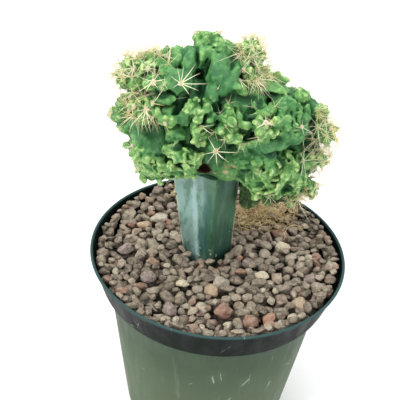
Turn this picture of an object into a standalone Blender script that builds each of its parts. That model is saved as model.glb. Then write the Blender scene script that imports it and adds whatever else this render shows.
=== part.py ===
"""Potted crested barrel cactus: a cristate head grafted on a five-ribbed stem, in a nursery pot.

Metres, +Z up. The origin is the middle of the pot's underside, and -Y is the front.
"""

import math
import random

import bmesh
import bpy
from mathutils import Matrix, Vector, noise
from mathutils.bvhtree import BVHTree

MM = 0.001
GAP = 0.3 * MM  # air between neighbouring pieces

# Pot
POT_HEIGHT = 86.0 * MM
RIM_RADIUS = 52.5 * MM
POT_WALL = 1.3 * MM
BASE_RADIUS = 37.0 * MM
WALL_TOP_RADIUS = 45.0 * MM
COLLAR_HEIGHT = 14.3 * MM
COLLAR_FOOT_RADIUS = 48.2 * MM
LIP_RADIUS = 1.2 * MM
CHANNEL_INNER = 17.0 * MM  # the raised ring under the pot that lets water out
CHANNEL_OUTER = 31.0 * MM
CHANNEL_RISE = 2.0 * MM
CHANNEL_SLOPE = 1.5 * MM
FLOOR_FILLET = 0.6 * MM
DRAIN_HOLES = 8
DRAIN_RADIUS = 4.0 * MM
POT_SEGMENTS = 48

# Filling
SUBSTRATE_TOP = POT_HEIGHT - 18.0 * MM
GRAVEL_LEVEL = POT_HEIGHT - 5.2 * MM
GRAVEL_RINGS = 17
COBBLE = 4.6 * MM  # usual width of a stone of the dressing
COBBLE_RISE = 1.1 * MM
BED_LEAN = -0.02  # a little higher at the front
BED_EDGE_DROP = 1.5 * MM  # the dressing's rounded edge at the wall

# Rootstock
RIBS = 5
STEM_STEPS = 40  # points round the ribbed outline
STEM_BURIED = 26.0 * MM  # below its collar
STEM_COLLAR = Vector((-5.2 * MM, 7.0 * MM, POT_HEIGHT - 4.0 * MM))  # where it leaves the gravel
STEM_COLLAR_RADIUS = 11.5 * MM
STEM_COLLAR_TURN = 13.5  # degrees from the front to the nearest rib
GRAFT = Vector((-8.9 * MM, 7.0 * MM, POT_HEIGHT + 35.0 * MM))  # middle of the cut face
GRAFT_RADIUS = 15.0 * MM
GRAFT_TURN = 22.0  # the stem twists a little as it rises
FACE_HOLLOW = 0.09  # how far a face sinks between two ribs, as a part of the radius
RIB_BLUNT = 0.965  # where the ridge is rounded off, as a part of the radius

# Crest. Its places are millimetres from the middle of the pot's mouth.
MOUTH = Vector((0.0, 0.0, POT_HEIGHT))
VOXEL = 1.2 * MM
CREST_TRIANGLES = 4000
SPREAD = RIM_RADIUS - 0.2 * MM  # no spine reaches out past the rim
SHORTEST_SPINE = 3.0 * MM
PAD_RISE = 0.55  # height of a felt pad as a part of its radius


def material(name, colour, roughness):
    made = bpy.data.materials.new(name)
    made.use_nodes = True
    shader = made.node_tree.nodes["Principled BSDF"]
    shader.inputs["Base Color"].default_value = (*colour, 1.0)
    shader.inputs["Roughness"].default_value = roughness
    return made


def add_object(name, bm, look):
    """Closes the bmesh into an object of its own, shaded smooth but for sharp edges."""
    bmesh.ops.recalc_face_normals(bm, faces=bm.faces)
    mesh = bpy.data.meshes.new(name)
    bm.to_mesh(mesh)
    bm.free()
    mesh.shade_smooth()
    mesh.set_sharp_from_angle(angle=math.radians(40))
    if look:
        mesh.materials.append(look)
    made = bpy.data.objects.new(name, mesh)
    bpy.context.scene.collection.objects.link(made)
    return made


def as_cutter(tool):
    tool.hide_render = True
    tool.display_type = "WIRE"
    return tool


def cut(target, cutter):
    boolean = target.modifiers.new("cut_" + cutter.name, "BOOLEAN")
    boolean.operation = "DIFFERENCE"
    boolean.solver = "EXACT"
    boolean.object = cutter


def turned(profile, segments):
    """A bmesh of a profile of (radius, height) points turned round Z."""
    bm = bmesh.new()
    points = [bm.verts.new((radius, 0.0, height)) for radius, height in profile]
    edges = [bm.edges.new(pair) for pair in zip(points, points[1:])]
    bmesh.ops.spin(
        bm,
        geom=points + edges,
        cent=(0.0, 0.0, 0.0),
        axis=(0.0, 0.0, 1.0),
        angle=2.0 * math.pi,
        steps=segments,
        use_merge=True,
    )
    bmesh.ops.remove_doubles(bm, verts=bm.verts, dist=0.001 * MM)
    return bm


def arc(centre, radius, start, end, steps):
    """Points of (radius, height) along an arc, angles in degrees from straight out."""
    angles = [math.radians(start + (end - start) * i / steps) for i in range(steps + 1)]
    return [(centre[0] + radius * math.cos(a), centre[1] + radius * math.sin(a)) for a in angles]


# ---------------------------------------------------------------- pot

def outer_wall_radius(height):
    """The pot's outside below the collar."""
    slope = (WALL_TOP_RADIUS - BASE_RADIUS) / (POT_HEIGHT - COLLAR_HEIGHT)
    return BASE_RADIUS + slope * height


def collar_radius(height):
    """The collar's outside, which leans out towards the lip."""
    foot = POT_HEIGHT - COLLAR_HEIGHT
    slope = (RIM_RADIUS - LIP_RADIUS - COLLAR_FOOT_RADIUS) / (COLLAR_HEIGHT - LIP_RADIUS)
    return COLLAR_FOOT_RADIUS + slope * (height - foot)


def pot_inside(clearance):
    """The inner outline from the shelf under the collar up to the lip, drawn in by a clearance."""
    shelf = POT_HEIGHT - COLLAR_HEIGHT + POT_WALL
    wall = POT_WALL + clearance
    return shelf + clearance, outer_wall_radius(shelf) - wall, collar_radius(shelf) - wall


def floor_profile(rise, clearance):
    """The floor with its raised drainage ring, from the middle out to the wall."""
    return [
        (0.0, rise),
        (CHANNEL_INNER - clearance, rise),
        (CHANNEL_INNER + CHANNEL_SLOPE - clearance, rise + CHANNEL_RISE),
        (CHANNEL_OUTER + clearance, rise + CHANNEL_RISE),
        (CHANNEL_OUTER + CHANNEL_SLOPE + clearance, rise),
    ]


def make_pot(look):
    shelf, wall_radius, collar_inner = pot_inside(0.0)
    lip = (RIM_RADIUS - LIP_RADIUS, POT_HEIGHT - LIP_RADIUS)
    step = POT_HEIGHT - COLLAR_HEIGHT
    profile = floor_profile(POT_WALL, 0.0)
    profile += [(outer_wall_radius(POT_WALL) - POT_WALL - FLOOR_FILLET, POT_WALL)]
    profile += [(outer_wall_radius(2 * POT_WALL) - POT_WALL, 2 * POT_WALL)]
    profile += [(wall_radius, shelf), (collar_inner, shelf)]
    profile += [(lip[0] - LIP_RADIUS, lip[1])]
    profile += arc(lip, LIP_RADIUS, 150, -60, 6)
    profile += [(collar_radius(lip[1] - 2 * MM), lip[1] - 2 * MM)]
    profile += [(COLLAR_FOOT_RADIUS, step + 0.4 * MM), (COLLAR_FOOT_RADIUS - 0.4 * MM, step)]
    profile += [(outer_wall_radius(step), step)]
    profile += arc((BASE_RADIUS - 1.2 * MM, 1.2 * MM), 1.2 * MM, 0, -90, 3)
    profile += [(radius, height) for radius, height in reversed(floor_profile(0.0, 0.0))]
    pot = add_object("pot", turned(profile, POT_SEGMENTS), look)
    holes = bmesh.new()
    for i in range(DRAIN_HOLES):
        angle = 2.0 * math.pi * (i + 0.5) / DRAIN_HOLES
        radius = (CHANNEL_INNER + CHANNEL_OUTER + CHANNEL_SLOPE) / 2
        place = Matrix.Translation((radius * math.cos(angle), radius * math.sin(angle), 0.0))
        bmesh.ops.create_cone(
            holes,
            cap_ends=True,
            segments=16,
            radius1=DRAIN_RADIUS,
            radius2=DRAIN_RADIUS,
            depth=10 * POT_WALL,
            matrix=place,
        )
    cut(pot, as_cutter(add_object("drain_holes", holes, None)))
    return pot


# ---------------------------------------------------------------- rootstock

def ribbed_outline(offset):
    """Distance of the outline from the axis as a part of the rib radius, by angle from a rib."""
    sector = 2.0 * math.pi / RIBS
    away = abs((offset + sector / 2) % sector - sector / 2)
    straight = math.cos(sector / 2) / math.cos(sector / 2 - away)
    hollow = FACE_HOLLOW * math.sin(math.pi * away / sector)
    return min(straight - hollow, RIB_BLUNT)


def stem_sections():
    """(middle, rib radius, turn) of the stem from its buried end up to the graft."""
    buried = STEM_COLLAR - Vector((0.0, 0.0, STEM_BURIED))
    shoulder = buried + Vector((0.0, 0.0, 3 * MM))
    bulge = STEM_COLLAR.lerp(GRAFT, 0.55)
    bulge_radius = STEM_COLLAR_RADIUS + 0.6 * (GRAFT_RADIUS - STEM_COLLAR_RADIUS)
    return [
        (buried, 0.7 * STEM_COLLAR_RADIUS, STEM_COLLAR_TURN),
        (shoulder, 0.85 * STEM_COLLAR_RADIUS, STEM_COLLAR_TURN),
        (STEM_COLLAR, STEM_COLLAR_RADIUS, STEM_COLLAR_TURN),
        (bulge, bulge_radius, (STEM_COLLAR_TURN + GRAFT_TURN) / 2),
        (GRAFT, GRAFT_RADIUS, GRAFT_TURN),
    ]


def stem_ring(bm, middle, radius, turn, height):
    ring = []
    for i in range(STEM_STEPS):
        angle = 2.0 * math.pi * i / STEM_STEPS
        reach = radius * ribbed_outline(angle - math.radians(turn))
        x = middle.x + reach * math.sin(angle)
        y = middle.y - reach * math.cos(angle)
        ring.append(bm.verts.new((x, y, height)))
    return ring


def lofted_stem(clearance):
    """The stem's rings joined into one closed bmesh, grown all round by a clearance."""
    bm = bmesh.new()
    sections = stem_sections()
    heights = [middle.z for middle, _, _ in sections]
    heights[0] -= clearance
    heights[-1] += clearance
    grown = clearance / math.cos(math.pi / RIBS)
    rings = []
    for (middle, radius, turn), height in zip(sections, heights):
        rings.append(stem_ring(bm, middle, radius + grown, turn, height))
    for lower, upper in zip(rings, rings[1:]):
        for i in range(STEM_STEPS):
            j = (i + 1) % STEM_STEPS
            bm.faces.new((lower[i], lower[j], upper[j], upper[i]))
    bm.faces.new(rings[0])
    bm.faces.new(rings[-1])
    return bm


# ---------------------------------------------------------------- filling

def make_substrate(look, stem_room):
    shelf, wall_radius, _ = pot_inside(GAP)
    slope = (WALL_TOP_RADIUS - BASE_RADIUS) / (POT_HEIGHT - COLLAR_HEIGHT)
    low = 2 * POT_WALL + 2 * GAP
    profile = floor_profile(POT_WALL + GAP, GAP)
    corner = outer_wall_radius(POT_WALL) - POT_WALL - FLOOR_FILLET - 2 * GAP
    profile += [(corner, POT_WALL + GAP)]
    profile += [(outer_wall_radius(low) - POT_WALL - 2 * GAP, low)]
    profile += [(wall_radius - GAP - slope * (shelf - SUBSTRATE_TOP), SUBSTRATE_TOP)]
    profile += [(0.0, SUBSTRATE_TOP)]
    substrate = add_object("substrate", turned(profile, POT_SEGMENTS), look)
    cut(substrate, stem_room)
    return substrate


def gravel_height(x, y):
    """The dressing's cobbled top."""
    place = Vector((x, y, 0.0)) / COBBLE
    distance = noise.voronoi(place, distance_metric="DISTANCE", exponent=2.5)[0][0]
    return GRAVEL_LEVEL + COBBLE_RISE * (0.5 - distance) + BED_LEAN * y


def make_gravel_bed(look, stem_room, stone_room):
    shelf, wall_radius, collar_inner = pot_inside(GAP)
    bottom = SUBSTRATE_TOP + GAP
    edge = GRAVEL_LEVEL - BED_EDGE_DROP
    edge_radius = collar_radius(edge) - POT_WALL - 2 * GAP
    profile = [(0.0, bottom), (wall_radius - 1 * MM, bottom), (wall_radius - GAP, shelf)]
    profile += [(collar_inner - GAP, shelf), (edge_radius, edge)]
    rings = [edge_radius * (1.0 - i / GRAVEL_RINGS) for i in range(1, GRAVEL_RINGS + 1)]
    profile += [(radius, GRAVEL_LEVEL) for radius in rings]
    bm = turned(profile, POT_SEGMENTS)
    for vert in bm.verts:
        if vert.co.z > edge + 0.1 * MM:
            vert.co.z = gravel_height(vert.co.x, vert.co.y)
    bed = add_object("gravel_bed", bm, look)
    cut(bed, stem_room)
    cut(bed, stone_room)
    return bed


# ---------------------------------------------------------------- stones that lie proud

# place on the dressing (x, y), half sizes (along, across, up), turn, colour; mm and degrees
STONES = (
    (4, -35, 4.4, 3.3, 2.8, 20, "rust"),
    (28, 8, 3.8, 2.8, 2.6, -35, "cream"),
    (19, -12, 3.2, 2.5, 2.3, 10, "cream"),
    (13, -4, 2.9, 2.3, 2.1, 60, "grey"),
    (42, 4, 3.2, 2.4, 2.2, -15, "rust"),
    (34, -26, 4.0, 3.0, 1.9, 25, "tan"),
    (15, -39, 3.2, 2.5, 2.3, -30, "rust"),
    (-12, -22, 2.8, 2.1, 1.9, 0, "cream"),
    (-26, -20, 3.7, 2.8, 2.5, 40, "grey"),
    (-38, -4, 3.5, 2.9, 2.4, -20, "grey"),
    (-33, 14, 3.6, 2.7, 2.5, 15, "tan"),
    (-15, -36, 3.4, 2.8, 2.3, 70, "grey"),
    (-1, -24, 3.3, 2.6, 2.3, -50, "tan"),
    (-22, 30, 3.4, 2.6, 2.4, 30, "grey"),
    (8, 34, 3.6, 2.7, 2.4, -10, "tan"),
    (28, 24, 3.5, 2.8, 2.4, 55, "grey"),
    (38, -10, 3.0, 2.4, 2.2, 5, "grey"),
    (17, 10, 3.1, 2.4, 2.2, -25, "grey"),
)
STONE_COLOURS = {
    "rust": (0.26, 0.12, 0.08),
    "cream": (0.60, 0.52, 0.40),
    "grey": (0.22, 0.18, 0.16),
    "tan": (0.38, 0.28, 0.20),
}


def stone_shape(bm, stone, number, growth):
    """A crushed stone: a ball knocked out of round, laid half into the dressing."""
    x, y, along, across, up, turn, _ = stone
    dice = random.Random(number)
    ball = bmesh.ops.create_icosphere(bm, subdivisions=2, radius=1.0)["verts"]
    size = Vector((along * MM + growth, across * MM + growth, up * MM + growth))
    place = Vector((x * MM, y * MM))
    level = gravel_height(place.x, place.y) + 0.25 * up * MM
    spin = Matrix.Rotation(math.radians(turn), 3, "Z")
    offset = Vector((dice.uniform(0, 9), dice.uniform(0, 9), number))
    for vert in ball:
        knock = 1.0 + 0.22 * noise.noise(1.3 * vert.co + offset)
        shaped = Vector(vert.co[i] * size[i] * knock for i in range(3))
        vert.co = spin @ shaped + Vector((place.x, place.y, level))


def make_stones(looks):
    for number, stone in enumerate(STONES, start=1):
        bm = bmesh.new()
        stone_shape(bm, stone, number, 0.0)
        add_object(f"stone_{number:02d}", bm, looks[stone[-1]])


def make_stone_room():
    """The pockets that the stones lie in."""
    bm = bmesh.new()
    for number, stone in enumerate(STONES, start=1):
        stone_shape(bm, stone, number, 2 * GAP)
    return as_cutter(add_object("stone_room", bm, None))


# ---------------------------------------------------------------- crest

# The lobes of the fan-shaped head: middle, half sizes, and lean in degrees, clockwise from the
# front. The flesh is grown together, so each lobe only bulges out of its neighbours.
LOBES = (
    # the body that joins them
    ((-6, 7, 44), (15, 16, 12), 0),
    ((-6, 8, 55), (23, 17, 21), 0),
    ((1, -3, 41.5), (8, 6.5, 7.5), 0),
    # crown
    ((-16, -3, 75), (6, 9, 10), 0),
    ((-4, -5, 76), (7.5, 10, 12), 5),
    ((-5, -7, 67), (6.5, 9, 8), 0),
    ((-3, 4, 78), (6, 7, 6), 0),
    ((-9, 5, 82), (6, 6, 5), 0),
    ((-13, 5, 84.5), (3.2, 3.2, 3.6), -15),
    ((-10, 3, 85), (3.4, 3.2, 3.6), 0),
    ((-7, 5, 84.5), (3.4, 3.2, 3.8), 15),
    ((5, 3, 80), (4.5, 5, 5), 0),
    ((7.5, 1, 76), (4.5, 5, 5), 0),
    ((3, -4, 75), (5, 5, 5), 0),
    ((8, -1, 74), (4, 4, 4), 0),
    # upper left
    ((-18, -11, 75), (7, 9, 6.5), 0),
    ((-26, -9, 74), (6, 9, 5.5), 0),
    ((-23, -6, 79), (6, 7, 5.5), 0),
    ((-26, -1, 79.5), (5, 5, 4.5), 0),
    ((-22, -1, 79), (5, 6, 5), 0),
    ((-30, -6, 77), (4.5, 5, 4.5), 0),
    ((-36, -4, 74), (4.5, 6, 4), 0),
    ((-36, -5, 69), (4.5, 6, 5), 0),
    ((-33, -9, 70), (4.5, 6, 4.5), 0),
    # left
    ((-23, -11, 67), (7, 8, 4.5), 0),
    ((-33, -11, 65), (4.5, 6, 4.2), 0),
    ((-28, -13, 67), (4, 6, 4), 0),
    ((-29, -13, 63), (4, 6, 4.5), 0),
    ((-39, 0, 54.5), (5, 7, 6), 0),
    ((-38.5, 0, 50), (4.5, 6, 4.5), 0),
    ((-34, 0, 58), (6, 8, 8), 0),
    # centre
    ((-23, -14, 65), (5, 7, 5), 0),
    ((-18, -14, 60), (6.5, 7, 5), 0),
    ((-13, -14, 57), (5, 7, 4), 0),
    ((-7, -14, 63), (4, 6, 8), 0),
    ((0, -13, 65), (5, 6, 5.5), 0),
    ((2, -13, 60), (4.5, 5, 4), 0),
    ((5, -14, 65), (3.2, 4, 3.2), 0),
    # right
    ((12, -14, 67), (5, 7, 4.5), 0),
    ((20, -11, 67), (6, 7, 6.5), 0),
    ((14, -4, 73), (8, 7, 4.5), 5),
    ((13, 3, 70.5), (6, 6, 3.8), 0),
    ((17, -7, 70), (9, 7, 4), 0),
    ((8, -8, 70), (3.5, 5, 3.8), 0),
    ((22, -2, 68), (5.5, 6, 5), 0),
    ((31.5, 0, 63), (4, 5, 3.5), 0),
    ((32.5, -1, 57), (4.5, 6, 5), 0),
    ((35, 0, 59), (3, 4, 4.5), 0),
    ((24, 5, 52), (7, 8, 7), 0),
    ((6, -8, 49), (8, 6, 4.5), -25),
    ((14, -10, 56), (8, 6, 4.2), -22),
    ((21, -10, 61), (7, 6, 4.2), -15),
    # ruffles that hang beside the stem
    ((15, -3, 39), (11, 9, 11), 0),
    ((17, -5, 48), (7, 8, 6), 0),
    ((25, -4, 44), (5, 6, 7), 0),
    ((27, -5, 46), (4, 5, 4), 0),
    ((31.5, -3, 46), (4, 5, 4.5), 0),
    ((26, -2, 36), (6, 6, 6), 0),
    ((32, -2, 34), (3.4, 3.4, 3.4), 0),
    ((29, -1, 28), (3, 3, 4.5), 0),
    ((-24, -4, 41), (12, 9, 9), 10),
    ((-26, -6, 50), (8, 7, 7), 0),
    ((-16, -8, 42), (6.5, 6, 6), 0),
    ((-29.5, 0, 33), (6.5, 7, 5), 0),
    # back
    ((-4, 14, 71), (9, 8, 8), 10),
    ((-21, 14, 67), (9, 9, 8), -15),
    ((-31, 9, 64), (8, 9, 8), 0),
    ((-29, 15, 55), (9, 9, 10), 0),
    ((-21, 15, 40), (9, 8, 8), 0),
    ((-10, 22, 62), (9, 7, 11), 0),
    ((-3, 20, 46), (10, 8, 9), 0),
    ((11, 14, 61), (9, 9, 8), 15),
    ((22, 9, 57), (8, 8, 8), 0),
    ((17, 17, 50), (9, 9, 9), 0),
    ((18, 9, 38), (9, 8, 8), 0),
)


def largest_island(bm):
    """Drops every shell but the one with the most vertices, such as a cavity's wall."""
    left = set(bm.verts)
    islands = []
    while left:
        island = set()
        edge = [left.pop()]
        while edge:
            vert = edge.pop()
            island.add(vert)
            near = {other.other_vert(vert) for other in vert.link_edges} & left
            left -= near
            edge.extend(near)
        islands.append(island)
    keep = max(islands, key=len)
    bmesh.ops.delete(bm, geom=[vert for vert in bm.verts if vert not in keep], context="VERTS")


def make_crest(look, stem_room):
    bm = bmesh.new()
    for middle, half_sizes, lean in LOBES:
        place = Matrix.Translation(MOUTH + MM * Vector(middle))
        turn = Matrix.Rotation(math.radians(lean), 4, "Y")
        shape = Matrix.Diagonal((*(MM * Vector(half_sizes)), 1.0))
        bmesh.ops.create_icosphere(bm, subdivisions=3, radius=1.0, matrix=place @ turn @ shape)
    rough = as_cutter(add_object("crest_lobes", bm, None))
    remesh = rough.modifiers.new("join", "REMESH")
    remesh.mode = "VOXEL"
    remesh.voxel_size = VOXEL
    smooth = rough.modifiers.new("soften", "SMOOTH")
    smooth.factor = 0.5
    smooth.iterations = 2
    graph = bpy.context.evaluated_depsgraph_get()
    joined = bmesh.new()
    joined.from_object(rough, graph)
    largest_island(joined)
    bmesh.ops.triangulate(joined, faces=joined.faces)
    ratio = CREST_TRIANGLES / len(joined.faces)
    crest = add_object("crest", joined, look)
    decimate = crest.modifiers.new("thin", "DECIMATE")
    decimate.ratio = ratio
    cut(crest, stem_room)
    return crest


# ---------------------------------------------------------------- spines

# Each areole: name, place near the skin, pad radius, number of spines, longest spine, colour
AREOLES = (
    ("front_star", (-17, -21, 80), 1.6, 9, 9, "straw"),
    ("front_cream", (-26, -20, 78), 2.0, 9, 8, "straw"),
    ("crown_rib", (-16, -3, 87), 1.2, 6, 7, "straw"),
    ("crown_knob_left", (-15, 5, 89), 1.1, 5, 6, "tan"),
    ("crown_knob_right", (-5, 5, 89), 1.1, 5, 6, "tan"),
    ("crown_front", (3, -10, 81), 1.5, 7, 8, "straw"),
    ("crown_side", (7, 3, 84), 1.4, 7, 9, "straw"),
    ("recess", (7, -15, 72), 1.3, 7, 6, "straw"),
    ("upper_left", (-34, -12, 80), 1.5, 7, 10, "straw"),
    ("upper_left_rear", (-28, -1, 86), 1.4, 7, 8, "tan"),
    ("left_shoulder", (-42, -4, 73), 1.4, 7, 10, "straw"),
    ("left_middle", (-33, -18, 68), 1.5, 7, 8, "straw"),
    ("left_tip", (-45, -3, 57), 1.5, 8, 10, "straw"),
    ("left_low", (-43, -2, 48), 1.4, 8, 11, "straw"),
    ("centre_left", (-21, -22, 66), 1.3, 6, 6, "straw"),
    ("centre", (-8, -24, 68), 1.4, 7, 7, "straw"),
    ("neck_star", (-4, -16, 55), 1.5, 8, 9, "straw"),
    ("pale_pad", (11, -22, 70), 2.0, 7, 6, "straw"),
    ("right_shoulder", (22, -3, 74), 1.4, 6, 8, "straw"),
    ("right_lobe", (26, -15, 67), 1.4, 7, 8, "straw"),
    ("right_end", (38, -4, 62), 1.6, 8, 7, "tan"),
    ("right_low", (27, -12, 48), 1.5, 8, 9, "straw"),
    ("hanging_ball", (36, -5, 34), 1.6, 9, 8, "tan"),
    ("left_hem", (-34, -9, 38), 1.4, 7, 7, "straw"),
    ("right_hem", (17, -12, 34), 1.4, 7, 7, "straw"),
    ("under_right", (14, 3, 26), 1.4, 7, 11, "straw"),
    ("back_crown", (-2, 20, 79), 1.4, 7, 8, "straw"),
    ("back_left", (-33, 23, 60), 1.5, 8, 9, "straw"),
    ("back_middle", (-10, 30, 63), 1.5, 8, 9, "straw"),
    ("back_right", (19, 27, 54), 1.5, 8, 9, "straw"),
    ("back_hem", (-5, 28, 44), 1.4, 7, 8, "straw"),
)
SPINE_COLOURS = {"straw": (0.62, 0.48, 0.22), "tan": (0.42, 0.24, 0.12)}


def clear_length(skin, start, aim, wanted):
    """How far a spine can run from its pad and stay clear of the flesh and inside the rim."""
    leave = 2 * MM
    _, _, _, distance = skin.ray_cast(start + aim * leave, aim, wanted)
    length = wanted if distance is None else distance + leave - 4 * GAP
    tip = start + aim * length
    while max(abs(tip.x), abs(tip.y)) > SPREAD:
        length *= 0.95
        tip = start + aim * length
    return length


def spine_aims(count, dice):
    """One spine straight out of the pad and the others spread round it."""
    aims = [Vector((0.1, 0.0, 1.0)).normalized()]
    for i in range(count - 1):
        around = 2.0 * math.pi * (i + dice.uniform(-0.2, 0.2)) / (count - 1)
        rise = math.radians(dice.uniform(22, 50))
        flat = math.cos(rise)
        aims.append(Vector((flat * math.cos(around), flat * math.sin(around), math.sin(rise))))
    return aims


def make_areole(areole, number, skin, looks):
    """A felted pad with its spines drawn out of it, all one piece."""
    name, near, pad_radius, count, longest, colour = areole
    dice = random.Random(100 + number)
    foot, normal, _, _ = skin.find_nearest(MOUTH + MM * Vector(near))
    frame = normal.to_track_quat("Z", "X").to_matrix()
    radius = pad_radius * MM
    middle = foot + normal * (PAD_RISE * radius + GAP)
    bm = bmesh.new()
    shape = Matrix.Diagonal((radius, radius, PAD_RISE * radius, 1.0))
    bmesh.ops.create_icosphere(bm, subdivisions=2, radius=1.0, matrix=shape)
    roots = [face for face in bm.faces if face.normal.z > 0.1]
    for aim in spine_aims(count, dice):
        wanted = longest * MM * dice.uniform(0.7, 1.0)
        length = clear_length(skin, middle, frame @ aim, wanted)
        if length < SHORTEST_SPINE:
            continue
        root = max(roots, key=lambda face: face.calc_center_median().normalized().dot(aim))
        roots.remove(root)
        tip = bmesh.ops.poke(bm, faces=[root])["verts"][0]
        tip.co = aim * length
    bmesh.ops.transform(bm, matrix=Matrix.Translation(middle) @ frame.to_4x4(), verts=bm.verts)
    add_object("spines_" + name, bm, looks[colour])


def make_spines(crest, looks):
    graph = bpy.context.evaluated_depsgraph_get()
    skin = BVHTree.FromObject(crest, graph)
    for number, areole in enumerate(AREOLES):
        make_areole(areole, number, skin, looks)


# ---------------------------------------------------------------- whole

def main():
    for old in list(bpy.data.objects):
        bpy.data.objects.remove(old)
    stem_room = as_cutter(add_object("stem_room", lofted_stem(GAP), None))
    make_pot(material("pot_plastic", (0.035, 0.06, 0.045), 0.35))
    make_substrate(material("potting_mix", (0.05, 0.035, 0.025), 0.95), stem_room)
    gravel = material("lava_gravel", (0.24, 0.17, 0.14), 0.9)
    make_gravel_bed(gravel, stem_room, make_stone_room())
    make_stones({key: material("stone_" + key, tone, 0.85) for key, tone in STONE_COLOURS.items()})
    add_object("rootstock", lofted_stem(0.0), material("rootstock_skin", (0.06, 0.15, 0.11), 0.5))
    crest = make_crest(material("crest_skin", (0.12, 0.30, 0.07), 0.5), stem_room)
    make_spines(crest, {key: material("spine_" + key, tone, 0.6) for key, tone in SPINE_COLOURS.items()})


main()
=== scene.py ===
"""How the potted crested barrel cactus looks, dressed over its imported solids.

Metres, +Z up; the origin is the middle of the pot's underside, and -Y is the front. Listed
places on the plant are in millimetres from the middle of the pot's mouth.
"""

import itertools
import math

import bmesh
import bpy
import numpy as np
from mathutils import Matrix, Vector, noise
from mathutils.bvhtree import BVHTree


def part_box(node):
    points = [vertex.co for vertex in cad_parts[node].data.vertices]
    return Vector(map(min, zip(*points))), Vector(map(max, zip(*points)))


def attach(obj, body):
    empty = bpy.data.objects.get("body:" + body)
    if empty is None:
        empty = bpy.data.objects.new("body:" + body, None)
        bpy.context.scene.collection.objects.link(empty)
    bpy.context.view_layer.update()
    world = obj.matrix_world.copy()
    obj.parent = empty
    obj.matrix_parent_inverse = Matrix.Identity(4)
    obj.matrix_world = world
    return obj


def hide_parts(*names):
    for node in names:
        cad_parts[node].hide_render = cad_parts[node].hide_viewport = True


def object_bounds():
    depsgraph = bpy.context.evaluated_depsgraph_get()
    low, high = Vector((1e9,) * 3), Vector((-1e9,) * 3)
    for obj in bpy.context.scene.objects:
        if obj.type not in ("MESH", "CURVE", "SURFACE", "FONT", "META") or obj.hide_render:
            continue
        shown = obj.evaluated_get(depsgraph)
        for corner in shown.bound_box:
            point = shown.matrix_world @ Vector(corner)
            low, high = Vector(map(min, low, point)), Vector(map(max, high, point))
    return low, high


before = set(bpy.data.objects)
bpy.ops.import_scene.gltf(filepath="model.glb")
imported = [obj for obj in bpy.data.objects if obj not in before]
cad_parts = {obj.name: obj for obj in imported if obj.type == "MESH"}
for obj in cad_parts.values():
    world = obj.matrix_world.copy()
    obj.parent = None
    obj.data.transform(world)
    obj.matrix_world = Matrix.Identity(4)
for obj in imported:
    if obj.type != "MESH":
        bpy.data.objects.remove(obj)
cad_low, cad_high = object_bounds()


# ------------------------------------------------------------------ camera, light and floor
# A hand-held look down into the pot from the front, and slightly tilted. The light is a bright
# pale room: a broad window high on the left, a weaker one on the right, and a white table.

MM = 0.001
mouth = Vector((0.0, 0.0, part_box("pot")[1].z))
CAMERA_PLACE = mouth + MM * Vector((0.0, -212.4, 167.7))
CAMERA_AIM = mouth + MM * Vector((-9.4, 9.8, 14.6))
CAMERA_ROLL = math.radians(4.6)
LENS = 58.5

camera = bpy.data.objects.new("camera", bpy.data.cameras.new("camera"))
camera.data.sensor_width = 36.0
camera.data.lens = LENS
camera.data.clip_start = 0.01
look = (CAMERA_AIM - CAMERA_PLACE).to_track_quat("-Z", "Y").to_matrix().to_4x4()
camera.matrix_world = Matrix.Translation(CAMERA_PLACE) @ look @ Matrix.Rotation(CAMERA_ROLL, 4, "Z")
bpy.context.scene.collection.objects.link(camera)
bpy.context.scene.camera = camera
bpy.context.scene.view_settings.view_transform = "Standard"


def tint(red, green, blue):
    """A colour given as it looks, 0 to 255, as the light it reflects."""
    shares = [value / 255.0 for value in (red, green, blue)]
    return (*[s / 12.92 if s <= 0.04045 else ((s + 0.055) / 1.055) ** 2.4 for s in shares], 1.0)


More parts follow.
